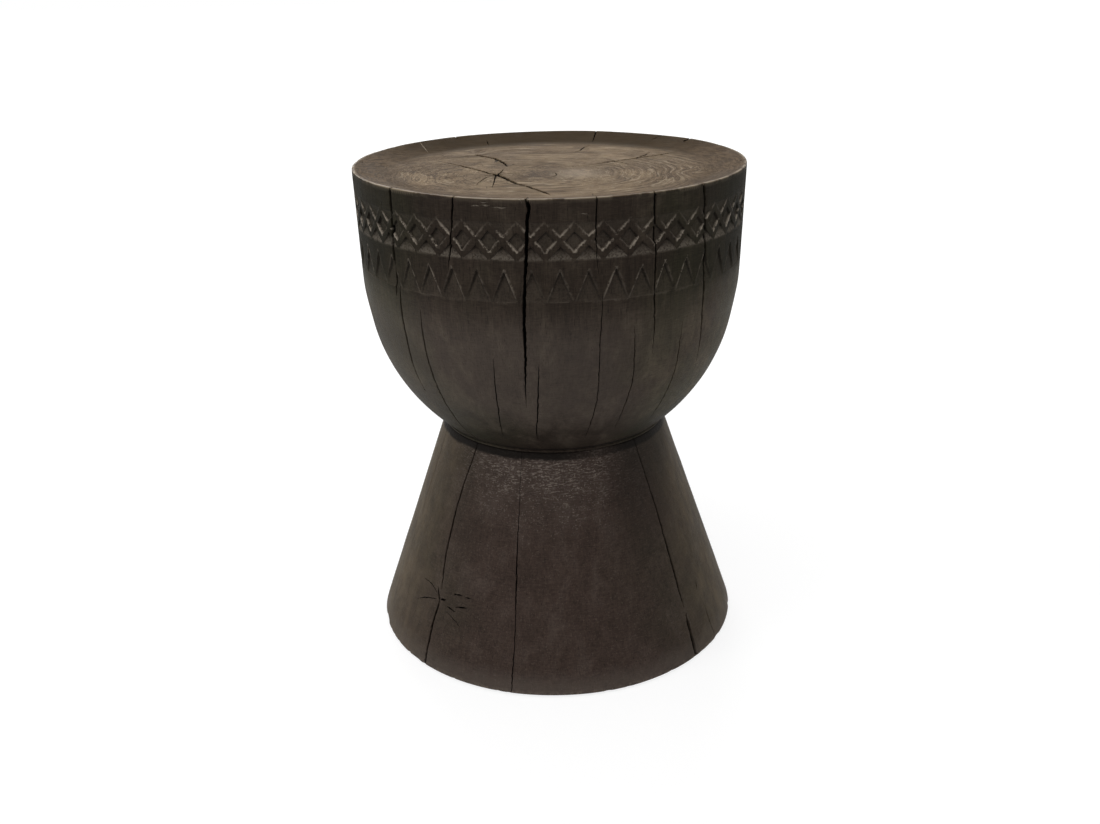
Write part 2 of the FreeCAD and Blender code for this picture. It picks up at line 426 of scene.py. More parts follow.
def closeOff(firstId, edgeIds, azimuths, rings, upwards):
    # closes an end of the skin by rings round the axis and a middle point; each ring is its radius, its
    # height and its radius on the flat layout, and the first one is the skin's own edge
    count = len(edgeIds)
    ids = [edgeIds] + [firstId + np.arange(count) + count * k for k in range(len(rings) - 1)]
    spread = [aroundAxis(wide, 0, azimuths)[:, :2] for _, _, wide in rings]
    points = np.concatenate([aroundAxis(radius, up, azimuths) for radius, up, _ in rings[1:]])
    points = np.r_[points, [[0, 0, rings[-1][1]]]]
    here, after = np.arange(count), (np.arange(count) + 1) % count
    faces, laid = [], []
    for k in range(len(rings) - 1):
        (a, b), (flatA, flatB) = ids[k:k + 2], spread[k:k + 2]
        faces += [np.c_[a[here], b[here], b[after]], np.c_[a[here], b[after], a[after]]]
        laid += [np.stack([flatA[here], flatB[here], flatB[after]], 1),
                 np.stack([flatA[here], flatB[after], flatA[after]], 1)]
    middle = firstId + count * (len(rings) - 1)
    faces.append(np.c_[ids[-1][here], np.full(count, middle), ids[-1][after]])
    laid.append(np.stack([spread[-1][here], spread[-1] * 0, spread[-1][after]], 1))
    faces, laid = np.concatenate(faces), np.concatenate(laid)
    if upwards:
        return points, faces[:, ::-1], laid[:, ::-1]
    return points, faces, laid * (-1, 1)


def endRing(flat, turn, along):
    # the ids of the skin's points on one of its ends, in the order of their azimuths
    ids = np.flatnonzero(np.abs(flat[:, 1] - along) < 1e-4)
    return ids[np.argsort(turn[ids])]


def layStrips(faces, flat, scale, length, columns):
    # the skin laid flat for the bake: three upright strips in cells, and the width and height of a cell
    corners = flat[faces]
    # a face that closes the seam at the back has corners on both sides of it
    across = np.ptp(corners[:, :, 0], axis=1) > math.pi * scale
    corners[:, :, 0] += np.where(across[:, None] & (corners[:, :, 0] < 0), 2 * math.pi * scale, 0)
    wide = 2 * math.pi * scale / 3
    strip = np.clip((corners[:, :, 0].mean(1) + math.pi * scale) // wide, 0, 2)[:, None]
    cell = np.array([wide + 12, length + 10])
    x = corners[:, :, 0] + math.pi * scale - strip * wide + 5 + strip % columns * cell[0]
    y = length - corners[:, :, 1] + 5 + strip // columns * cell[1]
    return np.stack([x, y], axis=2), cell


# the bowl

bowl = {
    "ballRadius": 169.8, "ballHeight": 95, "barrelRadius": 172.2, "barrelHeight": 106,
    "waistRadius": 104.5, "lipHeight": 1.6, "lipOverhang": 1.5, "rimWidth": 2.8,
    "dishRadius": 146, "dishDepth": 7.5, "discRadius": 143.5, "softness": 7,
    "mortiseRadius": 38.3, "mortiseDepth": 62,
    # how uneven the hand left it: size and random seed of the bumps and of the scraper's marks
    "uneven": 0.22, "bumps": (45, 3), "scrapes": (14, 4), "evenEdge": 12,
    # size, seed, threshold and depth of the nicks in the rim
    "nicks": ((12, 8, 0.8, 0.8), (6, 9, 1.2, 0.35)),
    "crackSeed": 40, "scratchSeed": 200, "discSeed": 80,
    # how far apart the mesh's points lie, and how many go round where they stand in columns
    "spacing": {"bevel": 3.4, "rim": 0.55, "band": 2.6, "carving": 1.75, "belly": 3.3, "lip": 0.7,
                "disc": 2.7},
    "rimColumns": 432, "lipColumns": 300,
}
lattice = {
    "crossings": 49, "firstCrossing": 2.3, "bottom": 401.2, "height": 30.5, "stripHeight": 6.9,
    "depth": 2.1, "walls": (1.3, 0.7), "overDrop": 0.75, "overReach": 4.2, "overWidth": 8,
    "toothTop": 394.2, "toothHeight": 26.7, "toothDepth": 2.1, "toothBaseDepth": 0.5,
    "toothWalls": (0.8, 1.3),
    # how irregular the chips are: their corners, depths, pale edges (wear and painted highlight) and dust
    "seed": 11, "hand": 0.33, "toothHand": 0.8, "depths": (0.82, 1.15), "worn": (0.15, 0.9),
    "dusty": (0.35, 1), "restDusty": {"upper": 0.1, "diamond": 0.15, "tooth": 0.1},
}
# points (azimuth, height, width) and the greatest depth of each crack; heights over the table top run on
# across the rim
bowlCracks = {
    "leftLong": ([(-46.6, 455, 1.8), (-47.0, 449, 3.5), (-47.1, 429, 3.2), (-47.8, 404, 3.2),
        (-47.9, 375, 2.9), (-48.3, 360, 0.8)], 7),
    "leftLower": ([(-46.4, 368, 0.7), (-46.8, 352, 2.2), (-46.9, 336, 2.4), (-47.2, 313, 2.4),
        (-47.6, 291, 1.6), (-47.4, 272, 0.4)], 6),
    "leftInner": ([(-25.1, 454, 0.8), (-25.3, 449, 1.8), (-26.0, 432, 1.8), (-27.3, 404, 1.5),
        (-27.9, 392, 0.3)], 5),
    "leftCurved": ([(-38.6, 352, 0.3), (-39.0, 336, 1.3), (-39.4, 316, 1.8), (-39.2, 294, 1.9),
        (-39.2, 273, 1.9), (-39.1, 251, 1.8), (-39.7, 236, 1.3), (-40.3, 214, 1.1)], 6),
    "frontWide": ([(-6.4, 457, 1.1), (-5.9, 450, 2.9), (-5.1, 443, 3.1), (-5.8, 436, 2.9),
        (-6.2, 412, 2.9), (-7.0, 380, 2.7), (-7.4, 352, 3), (-7.6, 317, 2.2), (-8.2, 292, 1.2),
        (-8.6, 272, 0.3)], 14),
    "frontLeftLow": ([(-16.7, 318, 0.3), (-17.0, 303, 0.9), (-17.5, 287, 1.1), (-18.0, 268, 1.4),
        (-19.4, 248, 1.2), (-20.6, 232, 0.4)], 5),
    "frontLow": ([(-3.9, 314, 0.3), (-4.2, 302, 1.1), (-4.8, 278, 1.4), (-5.4, 260, 1.4),
        (-6.7, 239, 1.2), (-6.5, 231, 0.3)], 5),
    "rightFine": ([(11.8, 454, 0.5), (11.6, 449, 1.2), (11.5, 430, 1.2), (11.8, 405, 0.8),
        (12.2, 390, 0.3)], 4),
    "rightLong": ([(13.5, 374, 0.3), (13.2, 355, 0.8), (12.9, 336, 0.9), (13.1, 310, 0.9),
        (13.5, 275, 0.9), (12.8, 252, 1.1), (12.3, 232, 0.4)], 4),
    "rightMiddle": ([(22.7, 342, 0.3), (23.2, 326, 0.9), (23.9, 304, 1.1), (24.1, 287, 1.1),
        (23.4, 263, 1.1), (23.2, 238, 0.4)], 4),
    "rightUpper": ([(27.5, 456, 1), (27.6, 449, 2.2), (27.6, 433, 2), (28.3, 402, 1.7),
        (28.5, 361, 1.5), (29.0, 335, 1), (29.4, 315, 0.3)], 5),
    "rightOuter": ([(38.9, 338, 0.3), (39.2, 318, 1.1), (39.7, 296, 1.2), (39.5, 272, 1.4),
        (39.2, 250, 1.1), (39.5, 238, 0.3)], 5),
    "rightEdge": ([(44.2, 457, 1.3), (44.5, 449, 3), (45.6, 427, 2.8), (46.9, 385, 2.6),
        (46.9, 346, 2.2), (48.6, 318, 1.5), (50.0, 292, 0.4)], 6),
    "bevelRight": ([(139.0, 447.5, 0.5), (139.2, 452, 1.4), (139.9, 460, 1.3), (140.6, 467, 0.2)], 3),
    "bevelBack": ([(163.9, 448.5, 0.4), (163.5, 453, 1.5), (163.2, 463, 1.5), (162.9, 472, 1.2),
        (162.6, 480, 0.2)], 3),
    "bevelLeft": ([(-156.3, 468, 0.2), (-156.0, 474, 1.3), (-155.7, 480, 0.3)], 2.5),
    # the back, which the picture doesn't show, dries in the same way
    "backA": ([(83.6, 455, 1.1), (83.4, 448, 2), (84.2, 420, 1.9), (84.9, 380, 1.8), (85.6, 345, 1.2),
        (85.9, 318, 0.3)], 6),
    "backB": ([(103.2, 352, 0.3), (103.0, 330, 1.2), (103.8, 300, 1.5), (104.2, 268, 1.4),
        (103.6, 243, 0.4)], 5),
    "backC": ([(127.0, 456, 1.4), (127.2, 449, 3), (126.5, 425, 2.8), (126.0, 395, 2.7),
        (126.8, 360, 2.2), (127.4, 325, 1.5), (127.0, 292, 0.3)], 10),
    "backD": ([(151.9, 452, 0.5), (152.1, 447, 1.2), (151.6, 420, 1.2), (151.2, 388, 0.8),
        (151.4, 372, 0.3)], 4),
    "backE": ([(-172.0, 340, 0.3), (-171.6, 318, 1.1), (-171.2, 290, 1.4), (-171.9, 262, 1.2),
        (-172.3, 240, 0.4)], 5),
    "backF": ([(-146.8, 456, 0.9), (-147.0, 449, 1.9), (-146.2, 420, 1.8), (-145.8, 380, 1.6),
        (-146.3, 340, 1.1), (-146.9, 312, 0.3)], 6),
    "backG": ([(-121.0, 360, 0.3), (-120.6, 336, 1.1), (-120.1, 300, 1.2), (-120.8, 262, 1.1),
        (-121.3, 236, 0.3)], 5),
    "backH": ([(-92.8, 455, 0.7), (-92.6, 448, 1.5), (-93.4, 415, 1.5), (-94.0, 380, 1.2),
        (-94.4, 352, 0.3)], 5),
    "backI": ([(-70.4, 342, 0.3), (-70.1, 320, 0.9), (-69.6, 290, 1.2), (-69.9, 258, 1.1),
        (-70.3, 238, 0.3)], 4),
}
# shallow pale scratches and chips, written like the cracks
bowlScratches = {
    "bevel": ([(-132.5, 451, 0.4), (-131.4, 459, 1.7), (-129.8, 468, 1.7), (-128.0, 478, 0.4)], 0.25),
    "chip": ([(-7.9, 452.0, 0.5), (-7.5, 450.2, 2.4), (-7.2, 447.2, 0.4)], 0.5),
    "bandLeftA": ([(-20.2, 443.4, 0.2), (-19.2, 444.0, 1.9), (-18.0, 443.5, 0.3)], 0.2),
    "bandLeftB": ([(-17.3, 444.5, 0.3), (-16.4, 443.9, 2.2), (-15.3, 444.7, 0.3)], 0.2),
    "bandLeftC": ([(-14.6, 443.0, 0.3), (-13.3, 443.5, 1.7), (-11.9, 442.7, 1.3),
        (-10.9, 443.2, 0.2)], 0.2),
    "bandLeftUpper": ([(-17.8, 446.8, 0.2), (-16.9, 446.4, 1.3), (-15.9, 446.9, 0.2)], 0.15),
    "bandRight": ([(7.6, 437.8, 0.2), (8.5, 438.2, 1.5), (9.3, 437.5, 0.3)], 0.2),
    "bandBack": ([(171.0, 441.0, 0.2), (173.2, 441.4, 1.4), (176.4, 440.8, 0.4)], 0.2),
    "bandSide": ([(-98.5, 438.0, 0.2), (-97.1, 438.3, 1.5), (-95.0, 437.7, 0.3)], 0.2),
}
# cracks in the top, with points (x, y, width) across the disc of the dish
pith = (-45.5, -30.0)
secondHeart = (24.5, -30.0)
heartBlend = 50.0  # how softly the two sets of rings meet
topCracks = {
    "toLeftBack": ([(-45.5, -29.8, 4.4), (-52.3, -22.4, 3.4), (-58.8, -11.4, 3.1), (-71.9, 7.6, 3.1),
        (-85.3, 25.0, 2.1), (-99.0, 39.8, 0.7)], 3),
    "toFront": ([(-45.5, -29.8, 4.4), (-41.0, -40.2, 4.6), (-33.6, -57.2, 3.8), (-26.9, -73.5, 3.6),
        (-18.3, -83.4, 3.2), (-10.5, -99.1, 3.7), (-3.9, -110.1, 3.4), (1.4, -123.1, 0.6)], 4),
    "curved": ([(-70.6, 77.4, 3.2), (-61.7, 67.9, 4.6), (-52.3, 56.6, 4.6), (-45.3, 40.3, 4),
        (-41.0, 24.7, 3.2), (-38.4, 11.8, 0.5)], 4),
    "shortUp": ([(-45.5, -27, 1.8), (-43.0, -18.4, 1.8), (-41.2, -2.4, 0.4)], 2),
    "shortDown": ([(-46.3, -33, 1.6), (-47.1, -46.3, 1.4), (-46.8, -66, 1), (-47.8, -84.8, 0.3)], 2),
    "shortLeft": ([(-48.5, -33, 1.7), (-54.8, -42, 1.4), (-58.8, -58.4, 1), (-60.7, -70.9, 0.3)], 2),
    "right": ([(22, 5, 0.4), (41, 15, 1.7), (58, 27, 2.8), (80, 42, 3.5), (103, 58, 3.1),
        (121, 71, 1.1)], 3),
    "rightBranch": ([(80, 42, 1.5), (90, 58, 1.8), (96, 72, 0.6)], 2),
    "rightCross": ([(50, 47, 0.4), (58, 34, 1.5), (68, 18, 1.4), (74, 4, 0.3)], 2),
    "backShort": ([(-71.2, 96.9, 0.6), (-68.2, 102.6, 1.7), (-63.8, 107.5, 0.4)], 2),
    "rightRing": ([(77, -62, 0.4), (84, -67, 1.4), (95, -65, 1.4), (101, -57, 0.4)], 2),
    "backRight": ([(22, 78, 0.4), (30, 92, 1.5), (34, 108, 1.7), (41, 122, 0.4)], 2),
    "starLeft": ([(-47.5, -30.5, 1.6), (-56.0, -33.5, 1.8), (-66.0, -35.0, 0.3)], 2),
    "starRight": ([(-43.5, -28.5, 1.4), (-36.0, -24.0, 1.7), (-27.0, -21.5, 0.3)], 2),
    "ringLeft": ([(-88.0, 62.0, 0.3), (-80.5, 70.0, 1.6), (-70.5, 73.0, 1.4), (-62.0, 81.0, 0.3)], 2),
    "middleArc": ([(3.0, -22.0, 0.3), (6.5, -30.0, 1.2), (5.0, -40.0, 1.2), (0.0, -47.0, 0.3)], 2),
}


def bowlProfile():
    lipTop = waist + bowl["lipHeight"]
    ballMiddle = lipTop + math.sqrt(bowl["ballRadius"] ** 2 - bowl["waistRadius"] ** 2)
    ballTop = lipTop + bowl["ballHeight"]
    ballEdge = math.sqrt(bowl["ballRadius"] ** 2 - (ballMiddle - ballTop) ** 2)
    up = np.arange(lipTop, tableTop + 0.5, 0.5)
    ball = np.sqrt(bowl["ballRadius"] ** 2 - (ballMiddle - np.minimum(up, ballTop)) ** 2)
    barrel = np.interp(up, [ballTop, tableTop - bowl["barrelHeight"], tableTop],
                       [ballEdge, bowl["barrelRadius"], rimRadius - 0.1])
    side = np.where(up < ballTop, ball, barrel)
    # the turner's curve runs softly through those stations
    reach = int(bowl["softness"] * 3 / 0.5)
    weights = np.exp(-0.5 * (np.arange(-reach, reach + 1) * 0.5 / bowl["softness"]) ** 2)
    ends = [2 * side[0] - side[reach:0:-1], side, 2 * side[-1] - side[-2:-reach - 2:-1]]
    side = np.convolve(np.concatenate(ends), weights / weights.sum(), "valid")
    dishFloor = tableTop - bowl["dishDepth"]
    lip = bowl["waistRadius"] + bowl["lipOverhang"]
    corners = [
        (bowl["discRadius"], dishFloor, 0),
        (bowl["dishRadius"] + 1, dishFloor, 5),
        (rimRadius - bowl["rimWidth"], tableTop - 0.1, 1.1),
        (rimRadius - 0.1, tableTop, 0.9),
        *((r, z, 0) for r, z in zip(side[::-1], up[::-1]) if lipTop + 1.2 < z < tableTop - 2),
        (bowl["waistRadius"] + 0.3, lipTop + 0.3, 0.5),
        (lip, lipTop - 0.2, 0.4),
        (lip, waist, 0.3),
        (bowl["waistRadius"] - 1.5, waist, 0),
    ]
    profile = Profile(roundedPath(corners))
    outermost = profile.first((profile.across > rimRadius - 1) & (profile.up > tableTop - 0.2))
    start = profile.first((profile.along > outermost) & (profile.up < tableTop - 0.8))
    profile.side = start, profile.first((profile.along > start) & (profile.up < waist + 2.6))
    return profile


def wallsOf(chip):
    return lattice["toothWalls" if chip["kind"] == "tooth" else "walls"]


def latticeShape(scale):
    # the distance from crossing to crossing, the height of their middles, half a strip's height and the
    # slope of the strips
    pitch = 2 * math.pi * scale / lattice["crossings"]
    strip = lattice["stripHeight"] / 2
    middle = lattice["bottom"] + lattice["height"] / 2
    rise = (lattice["bottom"] + lattice["height"] - middle - strip) / (pitch / 2)
    return pitch, middle, strip, rise


def crossingPlaces(scale):
    # the crossings of the lattice all round, and a few more over the seam at the back
    first, pitch = math.radians(lattice["firstCrossing"]) * scale, latticeShape(scale)[0]
    reach = lattice["crossings"] // 2 + 2
    for number in range(-reach, reach + 1):
        yield number % lattice["crossings"], first + number * pitch


def carvedChips(profile, scale):
    # every chip of the lattice and the teeth: its kind, its convex outline on the layout and its faults
    rng = np.random.default_rng(lattice["seed"])
    count = lattice["crossings"]
    hands = rng.normal(size=(count, 16, 2)) * lattice["hand"]
    depths = rng.uniform(*lattice["depths"], (count, 4))
    worn = rng.uniform(*lattice["worn"], count)
    dusty = rng.uniform(*lattice["dusty"], count)
    pitch, middle, strip, rise = latticeShape(scale)
    bottom, top = lattice["bottom"], lattice["bottom"] + lattice["height"]
    toothTop, toothBase = lattice["toothTop"], lattice["toothTop"] - lattice["toothHeight"]
    half = pitch / 2
    inner = half - strip / rise
    tall = inner * rise
    chips = []
    for same, u in crossingPlaces(scale):
        hand, left, right = hands[same], u - half, u + half
        shapes = (
            ("upper", [(left, top), (u, middle + strip), (right, top)], hand[0:3]),
            ("lower", [(left, bottom), (right, bottom), (u, middle - strip)], hand[3:6]),
            ("diamond", [(right - inner, middle), (right, middle - tall), (right + inner, middle),
                         (right, middle + tall)], hand[6:10]),
            ("tooth", [(u, toothTop), (left, toothBase), (right, toothBase)],
             hand[10:13] * lattice["toothHand"]),
        )
        for (kind, corners, shake), depth in zip(shapes, depths[same]):
            corners = np.array([(x, profile.whereUp(z)) for x, z in corners]) + shake
            centre = corners.mean(0)
            corners = centre + (corners - centre) * 0.985
            area = sum(a[0] * b[1] - b[0] * a[1] for a, b in zip(corners, np.roll(corners, -1, 0)))
            chips.append({"kind": kind, "corners": corners if area > 0 else corners[::-1], "depth": depth,
                          "worn": worn[same], "dusty": dusty[same]})
    return chips


def chipFloor(chip, points, profile):
    # how deep a chip's floor lies under each point
    bottom = profile.whereUp(lattice["bottom"])
    top = profile.whereUp(lattice["bottom"] + lattice["height"])
    strip = lattice["stripHeight"] / 2
    middle = (top + bottom) / 2
    deepest = lattice["depth"] * chip["depth"]
    if chip["kind"] == "upper":
        share = np.clip((points[:, 1] - top) / (middle - strip - top), 0, 1)
        return deepest * (0.12 + 0.88 * share)
    if chip["kind"] == "lower":
        share = np.clip((bottom - points[:, 1]) / (bottom - middle - strip), 0, 1)
        return deepest * (0.04 + 0.96 * share)
    if chip["kind"] == "tooth":
        apex = profile.whereUp(lattice["toothTop"])
        base = profile.whereUp(lattice["toothTop"] - lattice["toothHeight"])
        share = np.clip((points[:, 1] - apex) / (base - apex), 0, 1)
        fall = np.clip((share - 0.25) / 0.75, 0, 1)
        deep, shallow = lattice["toothDepth"], lattice["toothBaseDepth"]
        return chip["depth"] * (deep + (shallow - deep) * fall)
    return np.full(len(points), deepest)


def overStrips(points, u, s, scale):
    # at a crossing one strip lies over the other, whose surface dips beside it; at the front they swap
    _, _, strip, rise = latticeShape(scale)
    fromFront = (u / scale + math.pi) % (2 * math.pi) - math.pi
    lean = 1 if fromFront < 0.02 else -1
    x, y = points[:, 0] - u, s - points[:, 1]
    square = math.hypot(1, rise)
    over = np.abs(y - lean * rise * x) / square
    under = np.abs(y + lean * rise * x) / square
    wide = strip / square
    beside = np.clip((over - wide) / 0.35, 0, 1) * np.clip(1 - (over - wide) / lattice["overReach"], 0, 1)
    return beside * lattice["overDrop"] * (under < wide + 0.05)


def carveChips(flat, profile, scale, chips):
    # the carving at each point of the skin: its depth, its pale edges of wear and painted highlight, the
    # dust in it and its painted shade
    depth, wear, dust, grime = np.zeros((4, len(flat)))
    lowest = profile.whereUp(lattice["bottom"])
    for chip in chips:
        near = inBox(flat, chip["corners"].min(0) - 0.5, chip["corners"].max(0) + 0.5)
        if not len(near):
            continue
        inside, worn, inShade = chipMarks(chip, flat[near], wallsOf(chip), scale)
        floor = chipFloor(chip, flat[near], profile)
        strength = np.clip(floor / lattice["depth"] * 1.2, 0, 1)
        if chip["kind"] == "tooth":
            worn = worn * chip["worn"]
        if chip["kind"] == "lower":
            dusty = chip["dusty"] * np.clip(1.25 - (lowest - flat[near][:, 1]) / 7.5, 0, 1)
        else:
            dusty = lattice["restDusty"][chip["kind"]]
        for total, here in ((depth, inside * floor), (wear, strength * worn), (dust, inside * dusty),
                            (grime, strength * inShade)):
            total[near] = np.maximum(total[near], here)
    s = profile.whereUp(lattice["bottom"] + lattice["height"] / 2)
    for _, u in crossingPlaces(scale):
        near = np.flatnonzero((np.abs(flat - (u, s)) < lattice["overWidth"]).all(1))
        depth[near] = np.maximum(depth[near], overStrips(flat[near], u, s, scale))
    return depth, wear, dust, grime


def carveDisc(edge):
    # the disc of the dish inside the skin's first ring: its layout, its faces, its points and their cracks
    radius, step = bowl["discRadius"], bowl["spacing"]["disc"]
    cracks = [Crack([p[:2] for p in points], [p[2] for p in points], deepest, seed, 2.0, 0.3)
              for seed, (points, deepest) in enumerate(topCracks.values(), bowl["discSeed"])]
    layout = Layout()
    layout.addLine(edge, closed=True)
    for crack in cracks:
        for line in crack.outlines():
            layout.addLine(line)
    columns, levels = np.arange(-150, 150, step), np.arange(-150, 150, step * 0.87)
    grid = np.array([(x + (row % 2) * step / 2, y) for row, y in enumerate(levels) for x in columns])
    grid = grid[np.hypot(*grid.T) < radius - 1.5]
    layout.addPoints(grid[clearOf(grid, cracks, 0.6)])
    places, faces = layout.cut()
    faces = faces[np.hypot(*places[faces].mean(1).T) < radius - 0.001]
    cracked, depth = cutCracks(places, cracks, np.maximum)
    fromPith = np.hypot(*(places - pith).T)
    rings = np.sin(fromPith / 4.6 + softNoise(places, 60, 21) * 2.5)
    fromEdge = np.clip((radius - np.hypot(*places.T)) / 12, 0, 1)
    depth += fromEdge * (0.22 + softNoise(places, 40, 22) * 0.16 + rings * 0.05)
    depth += np.exp(-(fromPith / 2.2) ** 2) * 1.2  # the hole at the pith
    return places, faces, np.c_[places, tableTop - bowl["dishDepth"] - depth], cracked


def carveBowl():
    profile = bowlProfile()
    scale = rimRadius - 1  # the layout's millimetres for a turn of one radian
    start, end = profile.side
    chips = carvedChips(profile, scale)
    cracks = crackLines(bowlCracks, profile, scale, bowl["crackSeed"])
    scratches = crackLines(bowlScratches, profile, scale, bowl["scratchSeed"])
    rimTop = profile.first(profile.across > rimRadius - bowl["rimWidth"] - 1.2)
    bandTop = profile.whereUp(lattice["bottom"] + lattice["height"] + 1.5)
    bandEnd = profile.whereUp(lattice["toothTop"] - lattice["toothHeight"] - 2)
    gaps = bowl["spacing"]
    rows = [
        (0, rimTop, gaps["bevel"], bowl["rimColumns"]),
        (rimTop, start + 0.6, gaps["rim"], bowl["rimColumns"]),
        (start + 0.6, bandTop, gaps["band"], 0),
        (bandTop, bandEnd, gaps["carving"], 0),
        (bandEnd, end - 1, gaps["belly"], 0),
        (end - 1, profile.length, gaps["lip"], bowl["lipColumns"]),
    ]
    outlines = []
    for chip in chips:
        outlines += [closedLine(chip["corners"]), closedLine(shrunk(chip["corners"], wallsOf(chip)))]
    flat, faces = turnedSheet(profile, scale, rows, outlines, cracks + scratches)
    turn = flat[:, 0] / scale
    solid = pressedIn(profile, flat, turn, 0)
    depth, wear, dust, grime = carveChips(flat, profile, scale, chips)
    cracked, deep = cutCracks(flat, cracks, np.add)
    scratched, shallow = cutCracks(flat, scratches, np.add)
    # nicks and flats worn into the rim's edge
    atRim = np.exp(-((flat[:, 1] - start) / 1.6) ** 2)
    depth += deep + shallow + byHand(bowl, solid, flat, profile) + atRim * (0.12 + nicked(bowl, solid))
    skin = pressedIn(profile, flat, turn, depth)
    print("bowl side:", len(flat), "points,", len(faces), "faces")

    ringIds = endRing(flat, turn, 0)
    places, discFaces, disc, discCracked = carveDisc(skin[ringIds][:, :2])

    # the underside and the blind mortise
    base = len(skin)
    bottomIds = endRing(flat, turn, profile.length)
    mortiseEnd = waist + bowl["mortiseDepth"]
    hidden, hiddenFaces, hiddenLaid = closeOff(base + len(disc), bottomIds, turn[bottomIds], (
        (0, waist, 103), (70, waist, 76), (bowl["mortiseRadius"], waist, 52),
        (bowl["mortiseRadius"], mortiseEnd, 20)), False)
    points = np.concatenate([skin, disc, hidden])
    everyFace = np.concatenate([faces, discFaces + base, hiddenFaces])
    onTop = np.clip((start + 0.2 - flat[:, 1]) / 1.2, 0, 1)
    # painted shade on the lowest 9 mm of the belly, growing towards the lip
    underLip = np.clip((flat[:, 1] - end + 9) / 9, 0, 1) ** 2 * (flat[:, 1] < end + 1)
    onDisc, onHidden = np.zeros(len(disc)), np.zeros(len(hidden))
    # the rim's edge gets a pale line, wear and a painted highlight together, and the belly above the lip
    # gets its painted shade
    marks = {name: np.r_[onSkin, across, onHidden] for name, onSkin, across in (
        ("wear", np.maximum(wear, np.exp(-((flat[:, 1] - start + 1.6) / 1.5) ** 2)), onDisc),
        ("dust", np.maximum(dust, scratched), onDisc), ("grime", np.maximum(grime, underLip), onDisc),
        ("crack", cracked, discCracked), ("onTop", onTop, np.ones(len(disc))))}
    laid, cell = layStrips(faces, flat, scale, profile.length, 2)
    discLaid = places[discFaces] + (cell[0] + bowl["discRadius"] + 6, cell[1] + bowl["discRadius"] + 6)
    hiddenLaid = hiddenLaid * 0.6 + (70, 2 * cell[1] + 68)
    laid = np.concatenate([laid, discLaid, hiddenLaid]).reshape(-1, 2) / (2 * max(cell[0], cell[1] + 68))
    # the disc's edge is the skin's first ring
    place, used = mergeIds(len(points), [(base + spot, ringId) for spot, ringId in enumerate(ringIds)])
    marks = {name: values[used] for name, values in marks.items()}
    return makeMesh("bowl_wood", points[used], place[everyFace], marks, laid)


# the foot

